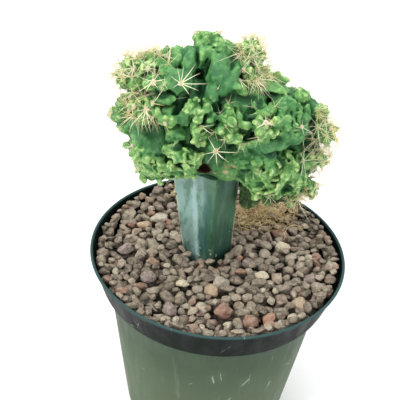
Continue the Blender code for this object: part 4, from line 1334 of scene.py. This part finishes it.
def scarred(points):
    """Share of dry scar (0 to 1) over the skin, and the painted dark-brown shade in and round the hollow by
    the stock and under the ruffles.
    """
    feet = onto_skin([place for place, _ in SCARS])
    scar = np.zeros(len(points))
    for foot, (_, reach) in zip(feet, SCARS):
        gap = np.linalg.norm(points - foot, axis=1) / reach
        scar = np.maximum(scar, np.exp(-(gap**4)))
    middle, size = HOLLOW
    gap = np.linalg.norm((points - middle) / np.array(size), axis=1)
    cavity_shade = np.clip(4.0 * (1.25 - gap), 0.0, 1.0)
    for middle, size in SHADED:
        gap = np.linalg.norm((points - middle) / np.array(size), axis=1)
        cavity_shade = np.maximum(cavity_shade, SHADE * np.clip(3.0 * (1.3 - gap), 0.0, 1.0))
    return scar, cavity_shade


# What the age of the skin comes from: the lobe's kind, young tips near by, how proud the skin
# stands (painted light and shade: proud skin lighter, hollowed skin darker), and the ruffles' edges (partly
# young growth, partly a painted highlight)
AGE_OF_LOBE, AGE_OF_TIPS, PROUD_LIGHT, EDGE_YOUTH_AND_HIGHLIGHT = 0.72, 0.42, 0.35, 0.34
FINE_CELLS, BROAD_CELLS = 2, 6  # how far round a place the creases and the hollows are felt


def tone_of(points):
    """Age of the skin, old (0) to young (1), with painted light on proud skin, and the painted shade of a
    fine crease and of a pit.
    """
    tips = np.zeros(len(points))
    for x, y, z, reach, tone in young:
        near = np.flatnonzero(np.abs(points[:, 2] - z) < 2.0 * reach)
        gap = np.linalg.norm(points[near] - (x, y, z), axis=1) / reach
        tips[near] = np.maximum(tips[near], tone * np.exp(-0.9 * gap * gap))
    fine = read(softened(np.clip(flesh, -1.5, 1.5), FINE_CELLS), points)
    broad = read(softened(np.clip(flesh, -3.0, 3.0), BROAD_CELLS), points)
    shade = np.zeros(len(points))
    # painted shade in and round each pit
    for foot, turn, size in pit_feet:
        near = np.flatnonzero(np.abs(points - foot).max(axis=1) < 1.5 * max(size) + 1.0)
        gap = (points[near] - foot) @ turn / (np.array(size) + 0.9)
        shade[near] = np.maximum(shade[near], 1.2 * np.exp(-((gap * gap).sum(axis=1) ** 1.5)))
    age_and_light = AGE_OF_LOBE * (lobe_shares(points) @ tones) + AGE_OF_TIPS * tips
    # painted light and shade: proud skin and ruffle edges lighter, hollowed skin darker
    age_and_light = age_and_light + PROUD_LIGHT * np.clip(fine, -0.3, 0.5) + EDGE_YOUTH_AND_HIGHLIGHT * read(ruffle_edges, points)
    return age_and_light, np.clip(0.5 - 1.6 * fine, 0, 1), np.maximum(np.clip(0.5 - 0.5 * broad, 0, 1), shade)


# Colours of the skin from the oldest (0) to the youngest (1)
GREENS = (
    (0.0, 46, 100, 58), (0.22, 86, 142, 82), (0.45, 126, 170, 98), (0.7, 168, 198, 124), (1.0, 214, 222, 166),
)


def crest_skin():
    """Waxy cactus skin: blue-green where old, pale yellow-green at the tips, and wherever it is
    crowded, small warts parted by fine dark creases. Painted shade darkens the creases, pits and hollows;
    painted light brightens the warts' middles and some pale flecks."""
    f = Finish("crest_skin")
    folded = f.painted("folded")
    stir = f.noise(f.place(), 300.0, 2.0, out="Color")
    moved = f.node("VectorMath", 0, {0: stir, 1: (STIR, STIR, STIR)}, operation="MULTIPLY")
    stirred = f.node("VectorMath", 0, {0: f.place(), 1: moved}, operation="ADD")
    wart, speck = (
        f.between(f.cells(stirred, scale, feature="DISTANCE_TO_EDGE"), 0.0, edge)
        for scale, edge in ((400.0, 0.32), (900.0, 0.30))
    )
    patch = f.grain(4 * MM, 8.0, 0.68)
    lively = f.maths("ADD", f.painted("age_and_light"), f.times(f.maths("SUBTRACT", patch, 0.5), 0.7))
    # painted light and shade on the warts: middles lighter, edges darker
    wart_dome_light = f.times(f.maths("SUBTRACT", wart, 0.6), f.times(folded, 0.3))
    aged = f.maths("ADD", lively, wart_dome_light)
    green = f.ramp(aged, *GREENS)
    old = f.maths("SUBTRACT", 1.0, aged, True)
    bloom = f.times(f.between(f.grain(9 * MM, 3.0), 0.48, 0.75, 0.0, 0.4), old)
    hazed = f.mixed(bloom, green, (86, 140, 92))
    # painted shade in the fine creases between the warts
    wart_crease_shaded = f.mixed(f.times(f.maths("SUBTRACT", 1.0, wart), f.times(folded, 0.7)), hazed, (52, 110, 46))
    # painted shade: darker in the fine creases
    crease_shaded = f.mixed(f.between(f.painted("crease_shade"), 0.52, 0.85, 0.0, 0.65), wart_crease_shaded, (42, 104, 42))
    fleck = f.grain(1.3 * MM, 4.0, 0.6)
    # pale flecks on the young skin: partly pale wax and felt, partly painted glints of light
    flecks_and_glints = f.times(f.between(fleck, 0.54, 0.68), f.between(aged, 0.2, 0.6, 0.1, 0.7))
    flecked_and_glinting = f.mixed(flecks_and_glints, crease_shaded, (206, 224, 176))
    dimmed = f.mixed(f.between(fleck, 0.46, 0.32, 0.0, 0.55), flecked_and_glinting, (50, 108, 48))
    # painted shade in the pits and hollows, from the depth value
    hollow_shaded = f.mixed(f.between(f.painted("depth"), 0.5, 0.9, 0.0, 0.92), dimmed, (22, 70, 40))
    scar = f.times(f.painted("scar"), f.between(patch, 0.35, 0.55, 0.3, 1.0))
    # painted shade: dark brown in the hollow by the stock and in the shaded places under the ruffles
    cavity_shaded = f.mixed(f.painted("cavity_shade"), f.mixed(scar, hollow_shaded, (196, 176, 132)), (44, 26, 14))
    rough = f.relief(f.grain(1.5 * MM, 8.0, 0.62), 0.35 * MM, f.relief(speck, 0.05 * MM))
    glow = {"Subsurface Weight": 0.25, "Subsurface Radius": (0.4, 1.0, 0.3), "Subsurface Scale": 1.4 * MM}
    warty = f.relief(f.times(wart, folded), 0.45 * MM, rough)
    return f.wear(cavity_shaded, 0.55, warty, {"Specular IOR Level": 0.3, **glow})


def grow_crest():
    points, faces = largest_shell(*skin_of(flesh))
    values = dict(zip(("age_and_light", "crease_shade", "depth", "scar", "cavity_shade"), (*tone_of(points), *scarred(points))))
    values["folded"] = lobe_shares(points) @ warty
    crest = mesh_piece("crest_flesh", from_mouth(points), faces, crest_skin(), **values)
    triangles = 2 * len(faces)
    if triangles > CREST_FACES:
        crest.modifiers.new("thin", "DECIMATE").ratio = CREST_FACES / triangles
        graph = bpy.context.evaluated_depsgraph_get()
        thinned = bpy.data.meshes.new_from_object(crest.evaluated_get(graph))
        crest.modifiers.clear()
        crest.data = thinned
    return crest


crest = grow_crest()
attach(crest, "root")
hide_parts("crest")


# ------------------------------------------------------------------ areoles and spines
# Every wart ends in an areole: a small pad of cream felt that a star of thin, stiff, straw
# coloured spines grows from. The big stars stand on the old flesh; the young edges bristle.

STRAW, TAN_SPINE = 0.0, 1.0
# The stars that show: place near the skin, pad radius, spine kind, and where each spine ends
STARS = (
    ((-17.5, -16, 77.5), 1.3, STRAW, ((-8, -21, 81), (-11, -21, 78), (-14, -21, 76), (-13, -18, 86),
        (-17, -17, 85), (-19, -17, 84), (-21, -20, 82), (-20, -21, 78), (-11, -20, 84))),
    ((-26.8, -15, 76.4), 1.6, STRAW, ((-21, -18, 79), (-27, -16, 82), (-24, -18, 82), (-31, -20, 72),
        (-28, -21, 74), (-31, -17, 79), (-23, -20, 75))),
    ((-35, -8, 77.4), 1.3, STRAW, ((-39, -9, 81), (-36, -7, 84), (-32, -9, 83), (-41, -10, 77),
        (-38, -12, 74), (-30, -12, 78), (-35, -13, 73))),
    ((-30, -8, 78.5), 1.5, STRAW, ((-33, -10, 83), (-26, -10, 84), (-24, -12, 80), (-33, -12, 79),
        (-29, -13, 75))),
    ((-28.9, -18, 66.9), 1.3, STRAW, ((-34, -22, 62), (-32, -22, 69), (-29, -24, 62), (-26, -23, 62),
        (-24, -22, 66), (-24, -20, 70))),
    ((-33.5, -15, 67.2), 1.3, TAN_SPINE, ((-39, -15, 69), (-36, -14, 71), (-31, -17, 73), (-36, -18, 63),
        (-33, -18, 62))),
    ((-27.4, -15.5, 69), 1.3, TAN_SPINE, ((-31, -17, 73), (-25, -18, 74), (-22, -20, 71),
        (-31, -19, 68))),
    ((-42.9, -4.8, 58.9), 0.9, STRAW, ((-50.5, -5, 61), (-50, -6, 56), (-47, -5, 66), (-40, -7, 66),
        (-49, -6, 52), (-44, -8, 53))),
    ((-4.4, -20, 56), 1.4, STRAW, ((4, -22, 57.5), (-10.5, -22, 56), (-8.5, -21, 63), (-7, -24, 53),
        (-1, -24, 55), (1, -22, 53), (-2, -23, 60), (-3, -24, 52))),
    ((-9.5, -18, 64), 1.1, STRAW, ((-5, -20, 66), (-5, -21, 59), (-9, -21, 62), (-12, -20, 68))),
    ((27.3, -6.2, 47.5), 1.2, STRAW, ((20, -9, 47), (22, -7, 52), (26, -6, 55), (31, -7, 54),
        (34, -8, 50), (33, -9, 44), (28, -10, 42), (24, -10, 43))),
    ((36, -1.4, 59.6), 1.2, TAN_SPINE, ((41, 0, 65), (46, 0, 57.5), (45, -1, 55), (40, -3, 47),
        (37.5, -3, 48), (34, -1, 65), (33, -4, 59), (36, 1, 66), (38, -4, 53))),
    ((34.2, -4, 36.2), 1.1, STRAW, ((47, -4, 39.5), (46, -3, 36.5), (43, -4, 33), (41, -3, 42),
        (36, -5, 43), (37, -7, 31), (32, -8, 31), (29, -8, 35))),
    ((33.8, -3, 31.6), 0.9, TAN_SPINE, ((40, -3, 31), (37, -4, 27), (33, -6, 27), (41, -3, 34))),
    ((25, -8, 60.5), 0.8, STRAW, ((30, -10, 61), (28, -9, 64), (22, -10, 56))),
    ((21.7, 2, 70), 0.9, STRAW, ((21, 2, 76), (25, 2, 75), (27, 0, 72), (18, 0, 74))),
    ((-15, 3.4, 87.8), 1.1, TAN_SPINE, ((-20, 3, 89), (-18, 3, 92), (-14, 2, 92), (-19, 1, 86))),
    ((-6.2, 4, 88.8), 0.9, TAN_SPINE, ((-5, 4, 93), (-1, 4, 92), (-8, 3, 92), (-3, 2, 87))),
    ((9, 2, 82), 0.9, TAN_SPINE, ((13, 1, 86), (9, 2, 89), (8, -1, 80), (5, 3, 89), (11, 0, 81))),
    ((2.3, -4.8, 79.4), 1.2, STRAW, ((-1, -6, 83), (4, -6, 84), (0, -8, 77), (6, -8, 79))),
    ((1.2, -6.9, 76.6), 1.1, STRAW, ((-2, -8, 79), (5, -9, 78), (1, -11, 72), (5, -10, 74))),
    ((-5.5, -9, 75), 0.4, STRAW, ((-7.5, -14, 72), (-3, -11, 81))),
    ((6.7, -9.3, 68.6), 0.6, STRAW, ((3, -12, 70), (9, -12, 68), (6, -10, 72))),
    ((-24, -2, 80), 0.9, STRAW, ((-19, -8, 82), (-28, -4, 84), (-22, -4, 86))),
    ((11.2, -19.5, 68.6), 1.2, STRAW, ((8, -24, 68), (14, -24, 70), (11, -23, 73))),
    ((-22.2, -17, 64), 1.2, TAN_SPINE, ((-20, -22, 62), (-25, -22, 65))),
)
# The rest: place near the skin, pad radius, number of spines, longest spine, kind
AREOLES = (
    ((-36.2, -9.5, 61.7), 1.2, 5, 6, TAN_SPINE),
    ((-35.5, -7.3, 46.7), 1.2, 6, 7, STRAW),
    ((-28, -1, 84), 1.0, 7, 7, TAN_SPINE),
    ((33.5, 1.2, 65.1), 0.8, 6, 6, TAN_SPINE),
    ((31, -5, 35.7), 1.1, 7, 6, TAN_SPINE),
    ((31, -4.2, 49.3), 1.0, 7, 6, STRAW),
    ((-10, -17.6, 58.7), 0.8, 4, 4, TAN_SPINE),
    ((26, -15, 67), 0.9, 6, 5, STRAW),
    ((-45, -3, 57), 1.0, 8, 7, STRAW),
    ((-43, -2, 48), 1.0, 8, 9, STRAW),
    ((-34, -9, 38), 1.0, 7, 7, STRAW),
    ((17, -12, 34), 0.8, 6, 6, STRAW),
    ((14, 3, 26), 0.9, 7, 9, STRAW),
    ((-2, 20, 79), 1.2, 7, 8, STRAW),
    ((-33, 23, 60), 1.2, 8, 9, STRAW),
    ((-10, 30, 63), 1.2, 8, 9, STRAW),
    ((19, 27, 54), 1.2, 8, 9, STRAW),
    ((-5, 28, 44), 1.2, 7, 8, STRAW),
)
STEM_AREOLES = (  # height up the stem, and degrees round from the front rib
    (28.0, 72), (14.0, 72), (3.0, 72), (24.0, -72), (9.0, -72),
    (26.0, 144), (12.0, 144), (22.0, -144), (8.0, -144),
)
SPINE_SIDES = 5
SPINE_RINGS = (0.0, 0.12, 0.45, 0.78)  # shares of a spine's length
SPINE_ALONG = (*np.repeat(SPINE_RINGS, SPINE_SIDES), 1.0, 0.0)
SPINE_ROOT = 0.17  # radius at its root in millimetres, for a spine of the usual length
SPINE_USUAL = 8.0
SLIGHT = 0.62  # the small spines' thickness beside the big stars'
PAD_RISE = 0.2  # how far out of the skin a pad's middle is, and where its spines start,
SPINE_START = 0.45  # as parts of the pad's radius
UPRIGHT, SPREAD = 80, (15, 48)  # degrees up off the skin of a pad's first spine, and of the rest
CLEAR = 3.0  # small spines keep so far from the stars, in millimetres
REACH_SIDE = RIM_RADIUS / MM - 0.3
REACH_TOP = (cad_high.z - mouth.z) / MM - 0.2
LEAVE = 1.2  # a spine may run through the flesh for so many millimetres at its root
SHORT_OF = 0.3  # and stops so many short of any flesh that it would run into
SHORTEST = 1.3
CREST_MIDDLE = np.array((-4.0, 10.0, 52.0))

skin = BVHTree.FromObject(crest, bpy.context.evaluated_depsgraph_get())
spine_parts = {"points": [], "faces": [], "along": [], "tan": []}
felt_parts = {"points": [], "faces": [], "fade": []}
felt_ball, felt_faces = ball(3)

point = len(SPINE_RINGS) * SPINE_SIDES  # the spine's point comes after its rings, and then its root
SPINE_FACES = tube(len(SPINE_RINGS), SPINE_SIDES)
for i in range(SPINE_SIDES):
    j = (i + 1) % SPINE_SIDES
    SPINE_FACES += [(point - SPINE_SIDES + i, point - SPINE_SIDES + j, point), (j, i, point + 1)]


def heading(round_by, up):
    """The direction that lies so far round and so far up, in radians."""
    return np.array((math.cos(up) * math.cos(round_by), math.cos(up) * math.sin(round_by), math.sin(up)))


def skin_near(place):
    """The nearest place on the skin, and the direction straight out of it."""
    foot, normal, _, _ = skin.find_nearest(mouth + MM * Vector(place))
    return np.array((foot - mouth) / MM), np.array(normal)


def free_length(start, aim, wanted):
    """How far a spine can run and stay clear of the flesh and inside the rim."""
    hit = skin.ray_cast(mouth + MM * Vector(start + aim * LEAVE), Vector(aim), MM * wanted)[3]
    length = wanted if hit is None else hit / MM + LEAVE - SHORT_OF
    while length > 1.0:
        tip = start + aim * length
        if np.abs(tip[:2]).max() < REACH_SIDE and tip[2] < REACH_TOP:
            break
        length *= 0.93
    return length


def add_to(parts, points, faces, **values):
    """Adds points, their faces numbered from 0, and the values they carry to the parts of a mesh."""
    first = sum(len(earlier) for earlier in parts["points"])
    parts["points"].append(points)
    parts["faces"] += [[first + corner for corner in face] for face in faces]
    for name, value in values.items():
        parts[name].append(np.broadcast_to(value, len(points)))


def add_spine(start, aim, length, tan, dice, stout=1.0):
    """A thin cone with a slight bow, its root sunk in the felt."""
    side = unit(np.cross(aim, dice.normal(size=3)))
    up = np.cross(side, aim)
    bow = side * length * dice.uniform(-0.05, 0.05)
    usual = min(1.15, 0.45 + 0.55 * length / SPINE_USUAL)
    radius = stout * SPINE_ROOT * usual * dice.uniform(0.85, 1.15)
    angles = 2.0 * math.pi * np.arange(SPINE_SIDES)[:, None] / SPINE_SIDES
    section = np.cos(angles) * side + np.sin(angles) * up
    points = []
    for share in SPINE_RINGS:
        middle = start + aim * length * share + bow * math.sin(math.pi * share)
        points.append(middle + radius * (1.0 - share) ** 0.7 * section)
    points = np.concatenate(points + [(start + aim * length)[None, :], start[None, :]])
    add_to(spine_parts, points, SPINE_FACES, along=SPINE_ALONG, tan=tan)


def add_felt(foot, turn, radius, dice, oldest=0.8):
    """A domed pad of short wool, fresh or up to so old."""
    size = np.array((0.8, dice.uniform(0.6, 0.85), 0.5)) * radius
    start = Vector(dice.uniform(0, 50, 3))
    fuzz = np.array([noise.noise(3.0 * Vector(point) + start) for point in felt_ball])
    shape = felt_ball * (1.0 + 0.3 * fuzz)[:, None] * size
    fade = oldest if oldest == 1.0 else dice.uniform(0.0, oldest)
    add_to(felt_parts, shape @ turn.T + foot, felt_faces, fade=fade)


def add_areole(near, radius, count, longest, tan, dice):
    """Sets a pad on the skin nearest to a place, and its spines round one that stands out."""
    foot, normal = skin_near(near)
    turn = frame_on(normal, dice.normal(size=3))
    add_felt(foot + normal * PAD_RISE * radius, turn, radius, dice)
    middle = foot + normal * SPINE_START * radius
    start_angle = dice.uniform(0, 2 * math.pi)
    for i in range(count):
        angle = start_angle + 2.0 * math.pi * (i + dice.uniform(-0.25, 0.25)) / max(count - 1, 1)
        up = math.radians(dice.uniform(*SPREAD) if i else UPRIGHT)
        aim = turn @ heading(angle, up)
        wanted = longest * dice.uniform(0.6, 1.05)
        length = free_length(middle, aim, wanted)
        if length > 0.35 * wanted and length > SHORTEST:
            add_spine(middle, aim, length, tan, dice, SLIGHT)


def add_star(near, radius, tan, ends, dice):
    """Sets a pad on the skin nearest to a place, and a spine from it to each given end."""
    foot, normal = skin_near(near)
    normal = unit(normal + 1.5 * unit(foot - CREST_MIDDLE))
    add_felt(foot + normal * PAD_RISE * radius, frame_on(normal, dice.normal(size=3)), radius, dice)
    middle = foot + normal * SPINE_START * radius
    for end in ends:
        aim = np.array(end, float) - middle
        wanted = np.linalg.norm(aim)
        aim /= wanted
        aim = unit(aim + max(0.0, 0.3 - aim @ normal) * normal)
        add_spine(middle, aim, free_length(middle, aim, wanted), tan, dice)


dice = np.random.default_rng(23)
for star in STARS:
    add_star(*star, dice)
for place, radius, count, longest, tan in AREOLES:
    add_areole(place, radius, count, longest, tan, dice)

# For each kind of lobe: pad radius, number of spines, longest spine, and share of bare knobs
BRISTLES = {
    "smooth": (0.3, 3, 4.0, 0.75),
    "spiny": (0.5, 11, 7.0, 0.0),
    "knob": (0.35, 5, 4.5, 0.3),
    "lump": (0.45, 6, 5.0, 0.1),
    "tuft": (0.6, 12, 6.0, 0.0),
}
LONG_KINDS = ("spiny", "lump", "tuft")  # lobes with a few much longer spines among the rest
big = np.array([place for place, *_ in STARS + AREOLES], float)
for point, normal, size, rise, kind in knobs:
    radius, count, longest, bare = BRISTLES[kind]
    if np.linalg.norm(big - point, axis=1).min() < CLEAR:
        continue
    if dice.uniform() < bare:
        continue
    tan = dice.uniform(0.0, 0.5 if kind == "smooth" else 0.75)
    longest = longest * dice.uniform(0.8, 1.4)
    if kind in LONG_KINDS:
        for _ in range(dice.integers(1, 5)):
            aim = unit(normal + 0.55 * dice.normal(size=3))
            add_spine(point, aim, free_length(point, aim, dice.uniform(7.0, 14.0)), 0.1, dice, 0.6)
    add_areole(point + normal * (rise + 0.3), radius * dice.uniform(0.7, 1.2), count, longest, tan, dice)


def add_stem_areoles():
    """Small spent pads up the ribs of the stem, with a short spine or two left."""
    for height, round_from in STEM_AREOLES:
        (x, y), radius, turn = stem_at(height)
        angle = turn + math.radians(round_from)
        out = np.array((math.sin(angle), -math.cos(angle), 0.0))
        foot = np.array((x, y, height)) + 0.955 * radius * out
        add_felt(foot, frame_on(out, (0.0, 0.0, 1.0)), 0.8, dice, 1.0)
        for _ in range(2):
            aim = unit(out + dice.uniform(-0.8, 0.8, 3))
            add_spine(foot, aim, dice.uniform(1.0, 1.8), TAN_SPINE, dice, 0.8)


add_stem_areoles()


def spine_look():
    """Horny spines, translucent straw that darkens to tan at the point."""
    f = Finish("spine_straw")
    along, blotch = f.painted("along"), f.grain(1.5 * MM, 3.0)
    straws = (0.0, 210, 208, 164), (0.4, 234, 234, 204), (0.88, 230, 222, 184), (1.0, 186, 152, 110)
    browns = (0.0, 206, 190, 116), (0.5, 214, 190, 124), (1.0, 164, 122, 74)
    straw, brown = f.ramp(along, *straws), f.ramp(along, *browns)
    both = f.mixed(f.painted("tan"), straw, brown)
    blotched = f.mixed(f.between(blotch, 0.45, 0.7, 0.0, 0.3), both, (240, 234, 206))
    glow = {"Subsurface Weight": 0.15, "Subsurface Scale": 0.4 * MM}
    return f.wear(blotched, 0.42, f.relief(blotch, 0.03 * MM), glow)


def felt_look():
    """Short cream wool, greying with age."""
    f = Finish("areole_felt")
    wools = (0.0, 216, 212, 192), (0.6, 206, 194, 166), (0.85, 190, 164, 130), (1.0, 112, 88, 64)
    wool = f.ramp(f.painted("fade"), *wools)
    hairs = f.grain(0.35 * MM, 5.0, 0.75)
    shaded = f.mixed(f.between(hairs, 0.4, 0.7, 0.0, 0.5), wool, (150, 130, 96))
    return f.wear(shaded, 1.0, f.relief(hairs, 0.25 * MM), {"Specular IOR Level": 0.1, "Sheen Weight": 0.35})


def joined(name, parts, look):
    """One piece from parts that were added one by one, whose places are from the pot's mouth."""
    points, faces = from_mouth(np.concatenate(parts.pop("points"))), parts.pop("faces")
    values = {value: np.concatenate(shares) for value, shares in parts.items()}
    return mesh_piece(name, points, faces, look, **values)


SPINE_NODES = sorted(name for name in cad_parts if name.startswith("spines_"))
spines = joined("spine_stars", spine_parts, spine_look())
felt = joined("areole_pads", felt_parts, felt_look())
for made in (spines, felt):
    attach(made, "root")
    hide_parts(*SPINE_NODES)


# ------------------------------------------------------------------ dry fibres
# A loose mat of dead rootlets and shed spines, straw to brown, that has gathered on the stones
# behind the stem, under the low right ruffle, with a few more at the stem's left.

# Middle of each mat, half sizes, number of fibres, longest fibre, in millimetres
MATS = (
    ((20, 26, -1.0), (13, 9, 2.2), 260, 9),
    ((24, 31, 1.5), (9, 7, 3.0), 150, 7),
    ((12, 22, -1.5), (5, 8, 1.5), 70, 9),
    ((-24, 38, -1), (4, 5, 2), 26, 7),
)
FIBRE_STEPS = 9
FIBRE_SIDES = 4
FIBRE_RADIUS = 0.12
FIBRE_BEND = 0.7  # radians that a fibre turns by at each step
FIBRE_LEVELS = (-3.9, 4.0)  # how low and how high a fibre may run
FIBRE_REACH = BED_RADIUS - 2.0  # and how far out from the middle
fibre_parts = {"points": [], "faces": [], "tone": []}


def fibre_path(middle, half_sizes, longest, dice):
    """Points along a rootlet that starts in a mat and wanders, keeping near the stones."""
    place = np.array(middle) + dice.uniform(-1, 1, 3) * half_sizes
    way = dice.uniform(0, 2 * math.pi)
    tilt = dice.uniform(-0.3, 0.5)
    step = longest * dice.uniform(0.35, 1.0) / FIBRE_STEPS
    path = []
    for _ in range(FIBRE_STEPS):
        path.append(place.copy())
        place = place + step * heading(way, tilt)
        reach = math.hypot(place[0], place[1])
        if reach > FIBRE_REACH:
            place[:2] *= FIBRE_REACH / reach
        place[2] = min(max(place[2], FIBRE_LEVELS[0]), FIBRE_LEVELS[1])
        way += dice.uniform(-FIBRE_BEND, FIBRE_BEND)
        tilt = 0.7 * tilt + dice.uniform(-0.35, 0.3)
    return np.array(path)


def grow_fibres():
    dice = np.random.default_rng(41)
    angles = 2.0 * math.pi * np.arange(FIBRE_SIDES)[:, None] / FIBRE_SIDES
    faces = capped_tube(FIBRE_STEPS, FIBRE_SIDES)
    for middle, half_sizes, count, longest in MATS:
        for _ in range(count):
            path = fibre_path(middle, half_sizes, longest, dice)
            tone = dice.uniform()
            radius = FIBRE_RADIUS * dice.uniform(0.6, 1.3)
            points = []
            for i, place in enumerate(path):
                ahead = path[min(i + 1, FIBRE_STEPS - 1)] - path[max(i - 1, 0)]
                along, across, _ = frame_on(unit(ahead), (0.2, 0.3, 1.0)).T
                thick = radius * (1.0 - 0.6 * i / FIBRE_STEPS)
                points.append(place + thick * (np.cos(angles) * along + np.sin(angles) * across))
            add_to(fibre_parts, np.concatenate(points), faces, tone=tone)


def fibre_look():
    f = Finish("dry_fibre")
    straws = (0.0, 170, 138, 88), (0.35, 210, 180, 122), (0.75, 228, 206, 148), (1.0, 242, 230, 190)
    straw = f.ramp(f.painted("tone"), *straws)
    blotch = f.grain(1.5 * MM, 4.0)
    browned = f.mixed(f.between(blotch, 0.45, 0.65, 0.0, 0.5), straw, (116, 84, 54))
    return f.wear(browned, 0.8, f.relief(blotch, 0.08 * MM))


grow_fibres()
fibres = joined("dry_fibres", fibre_parts, fibre_look())
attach(fibres, "root")
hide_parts(*SPINE_NODES)
